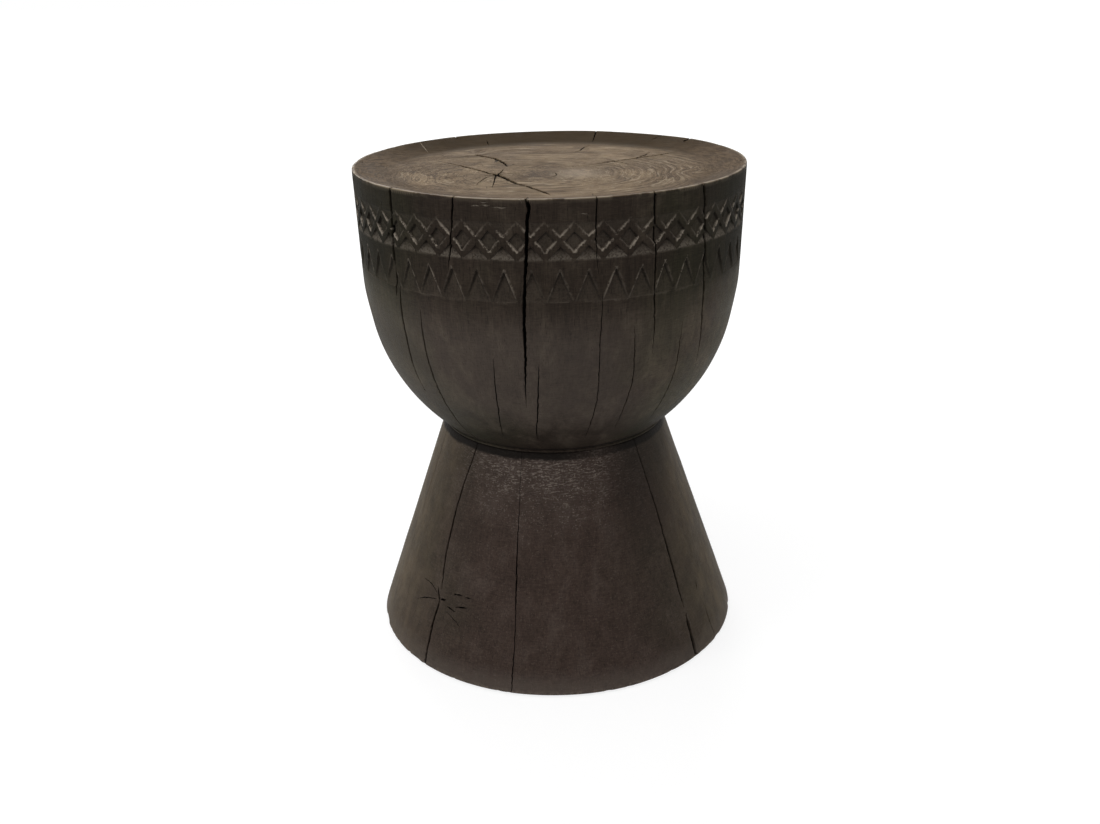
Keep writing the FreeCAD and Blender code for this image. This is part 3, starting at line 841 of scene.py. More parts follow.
foot = {
    "topRadius": 105.5, "easedWidth": 2.5, "easedHeight": 1.8, "hollowRadius": 161, "hollowDepth": 3.5,
    "tenonRadius": 38, "tenonChamfer": 3,
    "uneven": 0.22, "bumps": (50, 5), "scrapes": (16, 6), "evenEdge": 8, "crackSeed": 140,
    "nicks": ((11, 18, 0.7, 1.2), (4, 19, 0.9, 0.8)),
    "spacing": {"shoulder": 0.6, "side": 3.3, "rim": 0.8}, "shoulderColumns": 300, "rimColumns": 432,
}
footCracks = {
    "left": ([(-41.5, 209, 1.2), (-42.2, 200, 2), (-45.0, 172, 2.6), (-46.5, 145, 2.6),
        (-46.9, 112, 2.8), (-46.2, 90, 2.6), (-45.2, 75, 1)], 6),
    "leftLow": ([(-45.1, 66, 1), (-45.0, 60, 2.3), (-45.9, 42, 2.8), (-45.9, 20, 2.6),
        (-45.5, 3, 2.3)], 6),
    "middle": ([(-16.2, 209, 0.6), (-16.0, 190, 0.7), (-15.5, 160, 0.8), (-15.3, 135, 1.2),
        (-15.0, 110, 1.7), (-14.6, 88, 1.6), (-14.2, 64, 1), (-14.0, 40, 0.8), (-14.1, 20, 1.2),
        (-14.2, 2.5, 1)], 5),
    "right": ([(43.6, 209, 1), (44.2, 197, 1.6), (45.4, 172, 2), (46.7, 146, 2.4), (47.0, 127, 2.6),
        (47.5, 90, 3), (47.7, 62, 2.6), (47.8, 49, 0.8)], 6),
    "rightLow": ([(47.8, 41, 1), (47.8, 35, 3.6), (47.9, 18, 4), (47.8, 2.5, 4)], 9),
    "rightFine": ([(59.1, 38, 0.3), (59.2, 30, 1.2), (59.3, 22, 1.2), (59.9, 8, 0.6)], 3),
    "rightMark": ([(58.2, 62, 0.5), (57.9, 59, 2.2), (57.6, 56, 0.6)], 2.5),
    "knotA": ([(-47.2, 73.5, 0.6), (-46.6, 71, 2.4), (-45.8, 66.5, 2.4), (-45.2, 63, 0.8)], 3),
    "knotB": ([(-44.6, 64.4, 0.8), (-43.6, 65.2, 2.3), (-42.2, 66.4, 0.8)], 3),
    "knotC": ([(-38.0, 74.8, 0.7), (-36.8, 75.2, 2.2), (-35.5, 75.4, 0.8)], 3),
    "knotD": ([(-33.7, 75.2, 0.5), (-32.8, 75.5, 1.6), (-31.8, 75.5, 0.5)], 2),
    "knotE": ([(-40.9, 60.9, 0.6), (-39.4, 60.2, 2.2), (-37.6, 59.7, 0.8)], 3),
    "knotF": ([(-36.4, 64.4, 0.6), (-34.6, 65.4, 2), (-32.8, 66.2, 0.6)], 2.5),
    "knotG": ([(-57.0, 52, 0.4), (-52.0, 58.8, 1.1), (-47.4, 62.4, 0.8)], 1.5),
    "knotH": ([(-55.6, 73.2, 0.3), (-51.0, 73.2, 1), (-47.4, 69.2, 0.7)], 1.5),
    "knotI": ([(-40.4, 56.2, 0.4), (-37.0, 52.8, 0.9), (-34.4, 48.8, 0.4)], 1.5),
    "backA": ([(88.0, 209, 0.9), (88.6, 180, 1.7), (89.4, 140, 1.9), (90.2, 95, 1.9), (90.0, 50, 1.6),
        (90.3, 22, 0.3)], 6),
    "backB": ([(118.5, 120, 0.3), (118.9, 96, 1.2), (119.6, 60, 1.7), (119.2, 30, 2),
        (119.5, 2.5, 2.3)], 6),
    "backC": ([(150.6, 209, 0.8), (150.2, 180, 1.2), (150.8, 130, 1.6), (151.4, 90, 1.4),
        (151.0, 48, 0.3)], 5),
    "backD": ([(-163.0, 150, 0.3), (-162.4, 120, 1.2), (-162.8, 80, 1.7), (-163.4, 40, 1.7),
        (-163.0, 2.5, 1.6)], 6),
    "backE": ([(-128.2, 209, 0.9), (-128.0, 170, 1.6), (-127.2, 120, 1.7), (-127.6, 70, 1.4),
        (-127.9, 30, 0.3)], 6),
    "backF": ([(-96.0, 92, 0.3), (-95.6, 64, 1.4), (-95.1, 34, 1.9), (-95.4, 2.5, 2.2)], 6),
    "backG": ([(-72.4, 209, 0.6), (-72.0, 188, 1.2), (-72.6, 150, 1.2), (-73.0, 118, 0.3)], 4),
}


def footProfile():
    rim = footLow.z
    corners = [
        (foot["topRadius"] - foot["easedWidth"] - 3, waist, 0),
        (foot["topRadius"] - foot["easedWidth"], waist, 0.4),
        (foot["topRadius"], waist - foot["easedHeight"], 0.5),
        (footRadius - 0.1, rim + 0.4, 1.6),
        (footRadius - 3, rim, 1.0),
        (foot["hollowRadius"] + 2, rim, 0),
    ]
    profile = Profile(roundedPath(corners))
    profile.side = 3.2, profile.nearest(rim + 2.2)
    return profile


def turnFoot():
    profile = footProfile()
    scale = footRadius - 1
    start, end = profile.nearest(waist - foot["easedHeight"] - 0.6), profile.side[1]
    cracks = crackLines(footCracks, profile, scale, foot["crackSeed"])
    gaps = foot["spacing"]
    rows = [
        (0, start, gaps["shoulder"], foot["shoulderColumns"]),
        (start, end, gaps["side"], 0),
        (end, profile.length, gaps["rim"], foot["rimColumns"]),
    ]
    flat, faces = turnedSheet(profile, scale, rows, [], cracks)
    turn = flat[:, 0] / scale
    solid = pressedIn(profile, flat, turn, 0)
    cracked, deep = cutCracks(flat, cracks, np.add)
    # the lower edge is knocked about
    edge = np.exp(-((flat[:, 1] - end - 1) / 2.2) ** 2)
    depth = byHand(foot, solid, flat, profile) + edge * nicked(foot, solid) + deep
    skin = pressedIn(profile, flat, turn, depth)
    print("foot side:", len(flat), "points,", len(faces), "faces")

    # the tenon on top and the hollow underneath
    topIds, lowIds = endRing(flat, turn, 0), endRing(flat, turn, profile.length)
    radius, chamfer, hollow = foot["tenonRadius"], foot["tenonChamfer"], foot["hollowRadius"]
    ceiling = footLow.z + foot["hollowDepth"]
    tenon, tenonFaces, tenonLaid = closeOff(len(skin), topIds, turn[topIds], (
        (0, waist, 100), (70, waist, 72), (radius, waist, 50), (radius, footHigh.z - chamfer, 26),
        (radius - chamfer, footHigh.z, 18)), True)
    under, underFaces, underLaid = closeOff(len(skin) + len(tenon), lowIds, turn[lowIds], (
        (0, footLow.z, 172), (hollow, footLow.z, 165), (hollow - 0.4, ceiling - 0.3, 160),
        (hollow - 1.2, ceiling, 157), (120, ceiling, 120), (80, ceiling, 80), (40, ceiling, 40)), False)
    points = np.concatenate([skin, tenon, under])
    everyFace = np.concatenate([faces, tenonFaces, underFaces])
    blank = np.zeros(len(points) - len(skin))
    # a pale line along the lower edge: a painted reflection of the floor
    marks = {"wear": np.r_[0.8 * np.exp(-((flat[:, 1] - end - 1) / 1.5) ** 2), blank],
             "crack": np.r_[cracked, blank]}
    laid, cell = layStrips(faces, flat, scale, profile.length, 1)
    tenonLaid = tenonLaid * 0.9 + (cell[0] + 128, 3 * cell[1] - 105)
    underLaid = underLaid * 0.7 + (cell[0] + 128, 130)
    laid = np.concatenate([laid, tenonLaid, underLaid]).reshape(-1, 2) / (3 * cell[1] + 4)
    return makeMesh("foot_wood", points, everyFace, marks, laid)


# the felt pads

pad = {"corner": 2.0, "softEdge": 0.6, "steps": 5, "middle": 0.4, "uneven": 0.04, "seed": 5}


def makePad(node):
    low, high = boxOf(node)
    centre = (low + high) / 2
    side = (high.x - low.x) / math.sqrt(2)
    outward = math.atan2(centre.y, centre.x)
    corner = pad["corner"]
    half = side / 2 - corner
    outline = []
    for quarter, (cx, cy) in enumerate([(1, 1), (-1, 1), (-1, -1), (1, -1)]):
        for step in range(pad["steps"]):
            turn = math.pi / 2 * (quarter + step / (pad["steps"] - 1))
            outline.append((cx * half + corner * math.cos(turn), cy * half + corner * math.sin(turn)))
    outline = np.array(outline)
    spin = np.array([[math.cos(outward), math.sin(outward)], [-math.sin(outward), math.cos(outward)]])
    # each level's share of the outline and its height, from the underside to the top
    levels = [(pad["middle"], low.z), (1 - pad["softEdge"] / half, low.z), (1.0, low.z + pad["softEdge"]),
              (1.0, high.z - 0.2), (0.985, high.z), (pad["middle"], high.z)]
    count = len(outline)
    points = np.concatenate([np.c_[outline * share @ spin + (centre.x, centre.y), np.full(count, up)]
                             for share, up in levels])
    points[:, :2] += np.random.default_rng(pad["seed"]).normal(size=(len(points), 2)) * pad["uneven"]
    rings = [np.arange(count) + level * count for level in range(len(levels))]
    faces = [tuple(rings[0][::-1].tolist()), tuple(rings[-1].tolist())]
    for a, b in zip(rings[:-1], rings[1:]):
        faces += np.c_[a, np.roll(a, -1), np.roll(b, -1), b].tolist()
    name = "felt_" + node.replace("_felt_pad", "")
    mesh = bpy.data.meshes.new(name)
    mesh.from_pydata((points * mm).tolist(), [], faces)
    return addPiece(name, mesh, 50)


bowlWood = carveBowl()
footWood = turnFoot()
pads = {node: makePad(node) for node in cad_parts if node.endswith("felt_pad")}
print("meshes made:", sum(len(p.data.polygons) for p in (bowlWood, footWood, *pads.values())), "faces")


# the materials

class Wire:
    # a node's socket that can be written in a sum, a product or a power
    def __init__(self, tree, socket):
        self.tree, self.socket = tree, socket

    def maths(self, operation, *values):
        return self.tree.maths(operation, *values)

    def __add__(self, other):
        return self.maths("ADD", self, other)

    def __sub__(self, other):
        return self.maths("SUBTRACT", self, other)

    def __mul__(self, other):
        return self.maths("MULTIPLY", self, other)

    def __truediv__(self, other):
        return self.maths("DIVIDE", self, other)

    def __pow__(self, other):
        return self.maths("POWER", self, other)

    def __rsub__(self, other):
        return self.maths("SUBTRACT", other, self)

    __radd__, __rmul__ = __add__, __mul__

    def most(self, other):
        return self.maths("MAXIMUM", self, other)

    def clamped(self):
        return self.maths("MINIMUM", self.maths("MAXIMUM", self, 0), 1)


class Tree:
    # the node tree of a material or of the world
    def __init__(self, owner):
        owner.use_nodes = True
        self.nodes = owner.node_tree.nodes
        self.links = owner.node_tree.links

    def node(self, kind, settings=None, values=None, output=0):
        made = self.nodes.new(kind)
        for key, value in (settings or {}).items():
            setattr(made, key, value)
        for key, value in (values or {}).items():
            self.feed(made.inputs[key], value)
        return Wire(self, made.outputs[output])

    def feed(self, socket, value):
        if isinstance(value, Wire):
            self.links.new(value.socket, socket)
        else:
            socket.default_value = value

    def maths(self, operation, *values):
        return self.node("ShaderNodeMath", {"operation": operation}, dict(enumerate(values)))

    def mark(self, name):
        return self.node("ShaderNodeAttribute", {"attribute_name": name}, output="Fac")

    def place(self):
        return self.node("ShaderNodeTexCoord", output="Object")

    def smooth(self, value, low, high):
        # 0 at low to 1 at high, with soft ends
        return self.node("ShaderNodeMapRange", {"interpolation_type": "SMOOTHSTEP"},
                         {"Value": value, "From Min": low, "From Max": high}, "Result")

    def noise(self, vector, scale, detail=2.0, rough=0.5, twist=0.0):
        return self.node("ShaderNodeTexNoise", None, {"Vector": vector, "Scale": scale, "Detail": detail,
                                                      "Roughness": rough, "Distortion": twist}, "Fac")

    def joined(self, x, y, z):
        return self.node("ShaderNodeCombineXYZ", None, {0: x, 1: y, 2: z})

    def grain(self, x, y, z, detail, rough=0.5, twist=0.0):
        return self.noise(self.joined(x, y, z), 1.0, detail, rough, twist)

    def fading(self, squared, size):
        # 1 in the middle of a round spot, from the square of the distance to it
        return self.maths("EXPONENT", squared / (-size * size))

    def mixed(self, factor, first, second, blend="MIX"):
        first = first if isinstance(first, Wire) else (*first, 1)
        second = second if isinstance(second, Wire) else (*second, 1)
        return self.node("ShaderNodeMix", {"data_type": "RGBA", "blend_type": blend},
                         {0: factor, 6: first, 7: second}, 2)

    def toned(self, colour, tone):
        return self.mixed(1.0, colour, self.joined(tone, tone, tone), "MULTIPLY")


class Material(Tree):
    def __init__(self, name):
        self.material = bpy.data.materials.new(name)
        super().__init__(self.material)
        self.shader = self.nodes["Principled BSDF"]

    def shade(self, colour, roughness, specular, bump=None, strength=0.65, deep=0.0007):
        # the shader's inputs; bump is the height of the fine relief, deep its depth in metres
        values = {"Base Color": colour, "Roughness": roughness, "Specular IOR Level": specular}
        if bump:
            values["Normal"] = self.node("ShaderNodeBump", None,
                                         {"Strength": strength, "Distance": deep, "Height": bump})
        for name, value in values.items():
            self.feed(self.shader.inputs[name], value)
        return self.material


class Wood(Material):
    # dark stained side grain: long fibres, growth lines, short flecks across them, soft patches of colour
    def __init__(self, name, look):
        super().__init__(name)
        self.at = self.place()
        self.x, self.y, self.z = x, y, z = [self.node("ShaderNodeSeparateXYZ", None, {0: self.at}, axis)
                                            for axis in "XYZ"]
        # the pith wanders on its way up the trunk
        drift, sway = self.grain(z * 3.0, 0.7, 0.2, 1.0), self.grain(z * 3.0, 5.3, 4.2, 1.0)
        px = x - pith[0] * mm + (drift - 0.5) * 0.03
        py = y - pith[1] * mm + (sway - 0.5) * 0.03
        self.fromPith = (px * px + py * py) ** 0.5
        self.aside = (x * x) ** 0.5
        self.sideways = self.aside / ((x * x + y * y) ** 0.5).most(0.01)
        self.blotches = self.noise(self.upright(0.6), 42.0, 4.0, 0.62, 0.5)
        self.fibres = self.noise(self.upright(0.045), 900.0, 3.0, 0.66)
        self.threads = self.noise(self.upright(0.03), 2300.0, 2.0, 0.6)
        self.flecks = self.grain(x * 150, y * 150, z * 900, 3.0, 0.72)
        self.pores = self.smooth(self.noise(self.upright(0.1), 1300.0, 1.0), 0.64, 0.76)
        patches = self.noise(self.at, 9.0, 3.0, 0.55, 0.4)
        growth = self.grain(self.fromPith * 190, px * 4, z * 4, 2.0, 0.6)
        streaks = self.noise(self.upright(0.05), 330.0, 2.0, 0.6)
        away, ragged = look["greenAway"]
        greener = self.smooth(self.sideways + (patches - 0.5) * ragged, away - 0.32, away + 0.32)
        colour = self.mixed(greener, look["red"], look["green"])
        colour = self.mixed(self.smooth(self.blotches, 0.46, 0.72) * 0.4, colour, look["pale"])
        tone = (1 + (self.blotches - 0.5) * 0.9 + (self.fibres - 0.5) * 0.9 + (self.threads - 0.5) * 0.6
                + (growth - 0.5) * (0.15 + self.smooth(self.aside, 0.06, 0.15) * 1.1)
                + (self.flecks - 0.5) * 1.2 + (streaks - 0.5) * 0.7)
        self.sideGrain = self.mixed(self.pores * 0.6, self.toned(colour, tone), look["pore"])
        self.sideRoughness = 0.58 + (self.fibres - 0.5) * 0.4 + (self.blotches - 0.5) * 0.3

    def upright(self, squash):
        # the place, squashed so that what is drawn with it is long up the trunk
        squashed = {0: self.at, 1: (1, 1, squash)}
        return self.node("ShaderNodeVectorMath", {"operation": "MULTIPLY"}, squashed)

    def finished(self, colour, crack, roughness, height):
        # the cracks are painted near black inside: a painted shade
        colour = self.mixed(self.smooth(crack, 0.0, 0.4), colour, (0.0015, 0.0011, 0.0009))
        return self.shade(colour, (roughness + crack * 0.4).clamped(), 0.05, height)


# besides the wood's own colours these hold painted light: the pale belly colour, the pale edge colours
# (wear and painted highlight), the painted shade in the cuts and at the bevel's back
bowlLook = {
    "green": (0.0270, 0.0235, 0.0150), "red": (0.0300, 0.0222, 0.0168), "pale": (0.052, 0.042, 0.031),
    "pore": (0.004, 0.003, 0.0022), "greenAway": (0.56, 2.0), "handled": (0.069, 0.0580, 0.0510),
    "wornCarving": (0.38, 0.325, 0.262), "wornRim": (0.29, 0.235, 0.168), "grime": (0.004, 0.003, 0.0025),
    "dust": (0.17, 0.146, 0.118), "scratch": (0.34, 0.285, 0.215),
    # the end grain of the top
    "dryDark": (0.114, 0.078, 0.047), "dryPale": (0.234, 0.169, 0.104), "strokes": (0.084, 0.058, 0.037),
    "flakes": (0.32, 0.252, 0.178), "darkRings": (0.048, 0.034, 0.024), "paleRings": (0.35, 0.280, 0.192),
    "paleArcs": (0.33, 0.262, 0.185), "darkArcs": (0.066, 0.046, 0.030), "checks": (0.020, 0.014, 0.010),
    "bleached": (0.42, 0.345, 0.26), "eye": (0.082, 0.060, 0.042),
    "bevelPale": (0.122, 0.084, 0.051), "bevelDark": (0.060, 0.041, 0.025),
    "bevelCloud": (0.062, 0.044, 0.029), "bevelBack": (0.036, 0.024, 0.012),
    # small knots that bend the rings: place and size
    "swirls": ((0.1190, -0.0394, 0.018), (-0.075, 0.085, 0.022)),
}


def endGrain(wood, look):
    # rings round the pith and two knots, flaky strokes along them, rays; also their relief and the bevel
    x, y, place, fromPith = wood.x, wood.y, wood.at, wood.fromPith
    wave = wood.noise(place, 13.0, 2.0, 0.5)
    ripple = wood.noise(place, 55.0, 2.0, 0.5)
    swirl = 0
    for cx, cy, size in look["swirls"]:
        dx, dy = x - cx, y - cy
        swirl = wood.fading(dx * dx + dy * dy, size) * (size * 0.8) + swirl
    # the trunk had two hearts: circles round each, further out ovals round both
    hearts = []
    for cx, cy in (pith, secondHeart):
        dx, dy = x - cx * mm, y - cy * mm
        away = ((dx * dx + dy * dy) ** 0.5).most(0.002)
        hearts.append((away, dx / away, dy / away))
    (fromFirst, ax, ay), (fromSecond, bx, by) = hearts
    first = (0.5 + (fromSecond - fromFirst) / (2 * heartBlend * mm)).clamped()
    fromHeart = fromFirst * first + fromSecond * (1 - first) - first * (1 - first) * (heartBlend * mm)
    ring = fromHeart + (wave - 0.5) * 0.018 + (ripple - 0.5) * 0.0024 + swirl
    dirX, dirY = ax * first + bx * (1 - first), ay * first + by * (1 - first)

    def along(count, distance, detail, rough=0.5, twist=0.0):
        # grain that follows the rings, with about count marks for each turn of one radian
        return wood.grain(dirX * count, dirY * count, distance, detail, rough, twist)

    broad = along(1.6, ring * 55, 2.0, 0.6)
    yearly = along(1.7, ring * 150, 1.5)
    strokes = along(12, ring * 480, 4.0, 0.7)
    flakes = wood.smooth(along(26, ring * 800, 3.0, 0.7), 0.52, 0.64)
    rays = along(60, fromPith * 18, 2.0, 0.6)
    nearPith = 1 - wood.smooth(fromPith, 0.03, 0.08)
    checks = wood.smooth(along(40, fromPith * 24, 2.0, 0.5, 0.3),
                         0.70 - nearPith * 0.09, 0.75 - nearPith * 0.09)
    darkRings = 1 - wood.smooth(wood.maths("ABSOLUTE", yearly - 0.52), 0.0, 0.035)
    paleRings = 1 - wood.smooth(wood.maths("ABSOLUTE", yearly - 0.44), 0.0, 0.022)
    cloud = wood.noise(place, 17.0, 3.0, 0.6, 0.6)
    arcs = wood.maths("SINE", ring * 820 + broad * 5) * wood.smooth(x, 0.025, 0.055)
    brokenArcs = wood.smooth(along(3, ring * 130, 2.0, 0.6), 0.36, 0.60)
    # bleached wood at the second heart, a darker eye between it and the first
    bleached = wood.fading(fromSecond * fromSecond, 0.020)
    eyeX, eyeY = x + 0.0145, y + 0.029
    eye = wood.fading(eyeX * eyeX + eyeY * eyeY, 0.013)
    patchy = wood.smooth(cloud * 0.65 + broad * 0.35, 0.41, 0.59)
    dry = wood.mixed(patchy, look["dryDark"], look["dryPale"])
    for name, amount in (("strokes", wood.smooth(strokes, 0.46, 0.60) * 0.65), ("flakes", flakes * 0.55),
                         ("darkRings", darkRings * 0.65), ("paleRings", paleRings * 0.6),
                         ("paleArcs", wood.smooth(arcs, 0.60, 1.0) * brokenArcs * 0.55),
                         ("darkArcs", wood.smooth(arcs, -0.55, -1.0) * brokenArcs * 0.5),
                         ("checks", checks * 0.8), ("bleached", bleached * (0.25 + broad * 0.5)),
                         ("eye", eye * 0.5)):
        dry = wood.mixed(amount, dry, look[name])
    bevel = wood.mixed(wood.smooth(strokes, 0.42, 0.60), look["bevelPale"], look["bevelDark"])
    bevel = wood.mixed(wood.smooth(cloud, 0.42, 0.62) * 0.6, bevel, look["bevelCloud"])
    # the bevel's back slope is painted darker, a painted shade
    bevel = wood.mixed(wood.smooth(y, 0.03, 0.13) * 0.85, bevel, look["bevelBack"])
    onBevel = wood.smooth((x * x + y * y) ** 0.5 + (cloud - 0.5) * 0.025, 0.122, 0.146)
    height = strokes * 0.8 + flakes * 0.5 - checks * 1.2 - darkRings * 0.5 + rays * 0.3
    return wood.mixed(onBevel, dry, bevel), height, onBevel


def makeBowlMaterial(look):
    wood = Wood("bowl_wood", look)
    x, z, aside, blotches = wood.x, wood.z, wood.aside, wood.blotches
    wear, crack, dust, grime, onTop = (wood.mark(m) for m in ("wear", "crack", "dust", "grime", "onTop"))
    # the belly is painted lighter, a painted light from the floor below, with a pale colour that is weaker
    # on the right; below the carved band the wood is painted lighter towards the left and right sides, a
    # painted sheen, and the band keeps its stain but is painted darker towards the left and right sides, a
    # painted shade
    rubbed = wood.smooth(z + (blotches - 0.5) * 0.05, 0.222, 0.275) * (1 - wood.smooth(z, 0.325, 0.372))
    band = wood.smooth(z, 0.358, 0.376)
    tone = ((0.80 + band * 0.12 + rubbed * 1.0 + aside * 2.3 * (1 - band))
            * (1 - band * wood.smooth(aside, 0.08, 0.165) * 0.42))
    side = wood.toned(wood.sideGrain, tone)
    side = wood.mixed(rubbed * (1 - wood.smooth(x, 0.03, 0.10) * 0.7) * 0.42, side, look["handled"])
    top, topHeight, onBevel = endGrain(wood, look)
    colour = wood.mixed(onTop, side, top)
    # edges painted pale, wear and a painted highlight together; painted shade in the cuts, and dust in the
    # cuts or fresh wood in the scratches
    atRim = wood.smooth(z, 0.444, 0.4485)
    broken = (wood.noise(wood.at, 170.0, 4.0, 0.7) * (1 - atRim)
              + wood.noise(wood.at, 70.0, 3.0, 0.6) * atRim)
    worn = wear * wood.smooth(broken - atRim * 0.02, 0.38, 0.56)
    colour = wood.mixed(worn * 0.9, colour, wood.mixed(atRim, look["wornCarving"], look["wornRim"]))
    colour = wood.mixed(grime * 0.88, colour, look["grime"])
    dusty = dust * wood.smooth(wood.noise(wood.at, 620.0, 3.0, 0.7), 0.26, 0.60)
    colour = wood.mixed(dusty * 0.8, colour, wood.mixed(onTop, look["dust"], look["scratch"]))
    roughness = wood.sideRoughness + onTop * 0.15 + band * (0.16 - wear * 0.34) + dust * 0.05
    height = wood.fibres * 0.6 + wood.threads * 0.3 - wood.pores * 0.6 + blotches * 0.6 + wood.flecks * 0.3
    height = height * (1 - onTop) + topHeight * onTop * (1 - onBevel * 0.5)
    return wood.finished(colour, crack, roughness, height)


# besides the wood's own colours these hold painted light: the paler sides (painted sheen), the painted
# shade under the lip, and the pale lower edge (painted reflection of the floor)
footLook = {
    "green": (0.0370, 0.0290, 0.0205), "red": (0.0425, 0.0285, 0.0228), "pale": (0.056, 0.043, 0.036),
    "pore": (0.005, 0.0035, 0.003), "greenAway": (0.66, 1.1), "scuffed": (0.062, 0.047, 0.039),
    "scuffs": (0.20, 0.165, 0.142), "specks": (0.24, 0.200, 0.170), "rubbed": (0.130, 0.099, 0.062),
    "shaded": (0.0025, 0.0017, 0.0012), "edge": (0.150, 0.126, 0.108), "worn": (0.20, 0.165, 0.130),
}


def makeFootMaterial(look):
    wood = Wood("foot_wood", look)
    x, y, z, aside, blotches = wood.x, wood.y, wood.z, wood.aside, wood.blotches
    wear, crack = wood.mark("wear"), wood.mark("crack")
    # scuffs across the upper part of the cone
    scuffed = (wood.smooth(z + (blotches - 0.5) * 0.1, 0.120, 0.198)
               * (1 - wood.smooth(aside, 0.03, 0.100) * 0.85) * (1 - wood.smooth(x, 0.0, 0.06) * 0.4))
    handled = wood.grain(x * 30, y * 30, z * 45, 2.0, 0.6)
    often = wood.smooth(z * 4.5 + (handled - 0.5) * 0.9, 0.62, 0.96) * 0.07
    scuffs = wood.smooth(wood.grain(x * 190, y * 190, z * 1000, 4.0, 0.75) + often, 0.58, 0.67) * scuffed
    specks = wood.smooth(wood.noise(wood.at, 620.0, 2.0, 0.6), 0.60, 0.68) * (0.15 + scuffed * 0.85)
    # the left and right sides are painted paler in patches, less so at the back: a painted sheen
    rubbed = wood.smooth(wood.noise(wood.upright(0.3), 75.0, 6.0, 0.72, 0.3), 0.34, 0.70)
    atSides = (wood.smooth(wood.sideways, 0.66, 1.0)
               * (1 - wood.smooth(y + (blotches - 0.5) * 0.1, -0.03, 0.07) * 0.5))
    # painted shade in the corner under the bowl's lip, heavier on the left, and a broad painted shade
    # under it on the right; the lower edge is painted pale, a painted reflection of the floor
    corner = (wood.smooth(z + (blotches - 0.5) * 0.004, 0.2010, 0.2042)
              * (1 - wood.smooth(x, 0.0, 0.045) * 0.5))
    below = wood.smooth(z + (blotches - 0.5) * 0.03, 0.080, 0.205)
    shaded = corner + below * wood.smooth(x, 0.030, 0.075) * (1 - wood.smooth(x, 0.096, 0.118)) * 0.6
    edge = 1 - wood.smooth(z + (blotches - 0.5) * 0.02, 0.004, 0.026)
    # the pale mark along the lower edge adds to it, again a painted reflection of the floor
    worn = wear * wood.smooth(wood.noise(wood.at, 240.0, 3.0, 0.65), 0.40, 0.62)
    colour = wood.sideGrain
    for name, amount in (("scuffed", scuffed * 0.45), ("scuffs", scuffs * 0.8), ("specks", specks * 0.65),
                         ("rubbed", atSides * (0.2 + rubbed * 0.5)), ("shaded", shaded.clamped() * 0.95),
                         ("edge", edge * 0.3 + 0.02), ("worn", worn * 0.6)):
        colour = wood.mixed(amount, colour, look[name])
    height = wood.fibres * 0.45 + wood.threads * 0.25 - wood.pores * 0.5 + blotches * 0.6
    height = height + wood.flecks * (0.3 + scuffed * 0.5)
    return wood.finished(colour, crack, wood.sideRoughness - scuffs * 0.1, height)


feltLook = {"dark": (0.050, 0.042, 0.036), "pale": (0.115, 0.098, 0.082), "lumps": (0.16, 0.14, 0.12)}


def makeFeltMaterial(look):
    felt = Material("pad_felt")
    place = felt.place()
    hairs = felt.noise(place, 1400.0, 4.0, 0.7, 1.4)
    lumps = felt.noise(place, 260.0, 2.0)
    colour = felt.mixed(felt.smooth(hairs, 0.35, 0.65), look["dark"], look["pale"])
    colour = felt.mixed(lumps * 0.4, colour, look["lumps"])
    return felt.shade(colour, (0.85 + hairs * 0.15).clamped(), 0.15, hairs + lumps, 0.6, 0.0004)


bowlWood.data.materials.append(makeBowlMaterial(bowlLook))
footWood.data.materials.append(makeFootMaterial(footLook))
feltMaterial = makeFeltMaterial(feltLook)
for piece in pads.values():
    piece.data.materials.append(feltMaterial)
print("materials made")

for piece, node, slot in ((bowlWood, "drum_bowl", "bowl_wood"), (footWood, "flared_foot", "foot_wood"),
                          *((piece, node, "pad_felt") for node, piece in pads.items())):
    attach(piece, "root")
    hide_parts(node)


# the studio

studio = {
    "floorSize": 30.0, "floorColour": (0.82, 0.82, 0.82), "floorGlow": 0.66, "worldLevel": 0.28,
    "glowLevel": 1.2, "glowStart": 0.45, "glowEnd": 1.6,
    # place, what it aims at, size and watts
    "lamps": {
        "overhead": ((-0.2, -0.35, 2.2), (0, 0, 0.3), 1.5, 14.0),
        "behind": ((-0.3, 2.3, 1.3), (0, 0, 0.4), 1.4, 34.0),
        "left": ((-2.1, -0.9, 1.5), (0, 0, 0.28), 1.2, 16.0),
        "right": ((2.2, -0.5, 1.3), (0, 0, 0.28), 1.2, 5.0),
        "front": ((-0.3, -2.4, 2.0), (0, 0, 0.25), 0.9, 13.0),
    },
}
photoCamera = {"distance": 1.026, "height": 0.623, "down": 22.126, "roll": -1.056, "focal": 1135.6,
               "imageWidth": 1100, "middle": 553.9}


def viewers(tree):
    # 1 for what the camera sees, also in a mirror or through glass, and 0 for what lights the table
    camera, glossy, through = (tree.node("ShaderNodeLightPath", output=f"Is {name} Ray")
                               for name in ("Camera", "Glossy", "Transmission"))
    return camera.most(glossy).most(through)


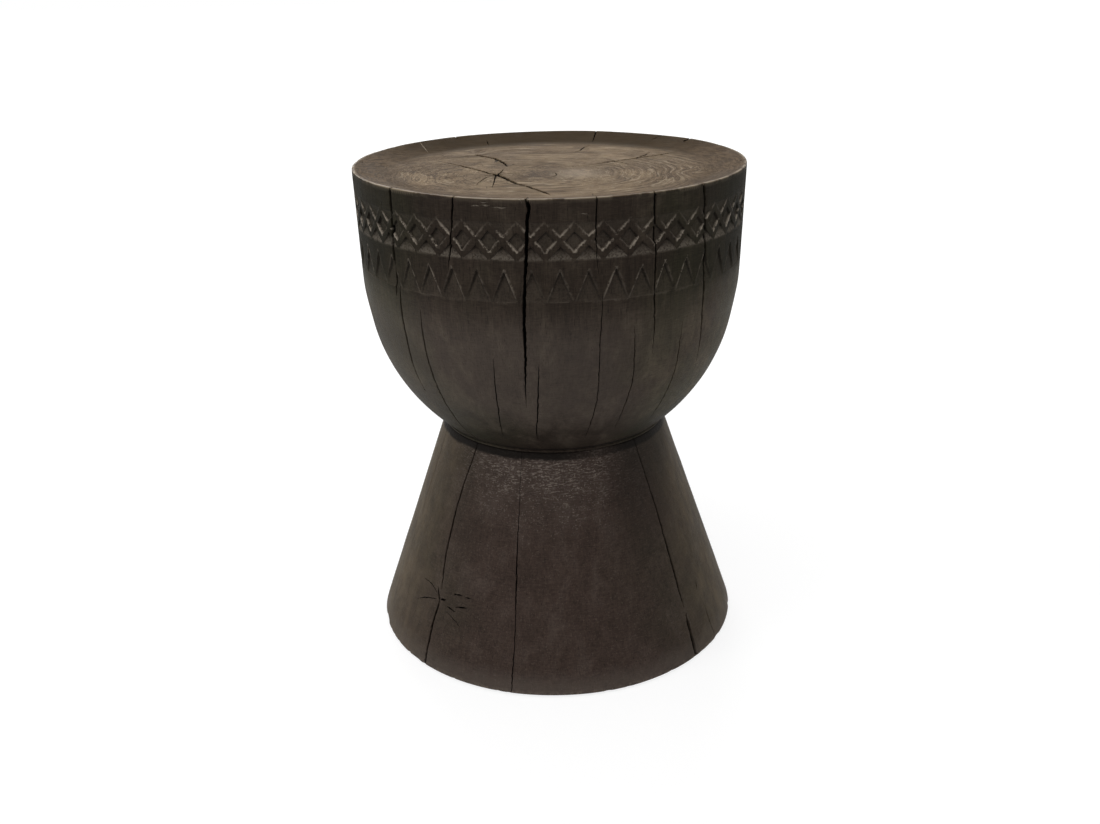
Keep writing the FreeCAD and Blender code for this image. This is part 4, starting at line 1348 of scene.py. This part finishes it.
def makeFloor():
    half = studio["floorSize"] / 2
    mesh = bpy.data.meshes.new("floor")
    corners = [(-half, -half, 0), (half, -half, 0), (half, half, 0), (-half, half, 0)]
    mesh.from_pydata(corners, [], [(0, 1, 2, 3)])
    floor = bpy.data.objects.new("floor", mesh)
    bpy.context.scene.collection.objects.link(floor)
    paper = Material("floor_white")
    mesh.materials.append(paper.shade((*studio["floorColour"], 1), 1.0, 0.0))
    glow = paper.node("ShaderNodeEmission", None, {"Color": (1, 1, 1, 1), "Strength": studio["glowLevel"]})
    # near the table the floor keeps some of its shadow, further off it is plain white
    away = paper.node("ShaderNodeVectorMath", {"operation": "LENGTH"}, {0: paper.place()}, "Value")
    far = paper.smooth(away, studio["glowStart"], studio["glowEnd"])
    share = viewers(paper) * (studio["floorGlow"] + far * (1 - studio["floorGlow"]))
    lit = Wire(paper, paper.shader.outputs[0])
    mix = paper.node("ShaderNodeMixShader", None, {0: share, 1: lit, 2: glow})
    paper.feed(paper.nodes["Material Output"].inputs["Surface"], mix)


def makeWorld():
    world = bpy.data.worlds.new("studio")
    bpy.context.scene.world = world
    sky = Tree(world)
    background = sky.nodes["Background"]
    sky.feed(background.inputs["Color"], (1, 1, 1, 1))
    seen = viewers(sky)
    sky.feed(background.inputs["Strength"], seen + (1 - seen) * studio["worldLevel"])


def makeLamps():
    for name, (place, aim, size, power) in studio["lamps"].items():
        data = bpy.data.lights.new(name, "AREA")
        data.shape = "DISK"
        data.size, data.energy = size, power
        lamp = bpy.data.objects.new(name, data)
        lamp.location = place
        lamp.rotation_euler = (Vector(aim) - Vector(place)).to_track_quat("-Z", "Y").to_euler()
        lamp.visible_camera = False
        bpy.context.scene.collection.objects.link(lamp)


def makeCamera():
    data = bpy.data.cameras.new("camera")
    data.sensor_fit = "HORIZONTAL"
    data.sensor_width = 36
    data.lens = photoCamera["focal"] * data.sensor_width / photoCamera["imageWidth"]
    data.shift_x = (photoCamera["imageWidth"] / 2 - photoCamera["middle"]) / photoCamera["imageWidth"]
    camera = bpy.data.objects.new("camera", data)
    tilt = Matrix.Rotation(math.radians(90 - photoCamera["down"]), 4, "X")
    roll = Matrix.Rotation(math.radians(photoCamera["roll"]), 4, "Z")
    stand = Matrix.Translation((0, -photoCamera["distance"], photoCamera["height"]))
    camera.matrix_world = stand @ tilt @ roll
    bpy.context.scene.collection.objects.link(camera)
    bpy.context.scene.camera = camera


makeFloor()
makeWorld()
makeLamps()
makeCamera()
bpy.context.scene.view_settings.view_transform = "Standard"
print("studio made")
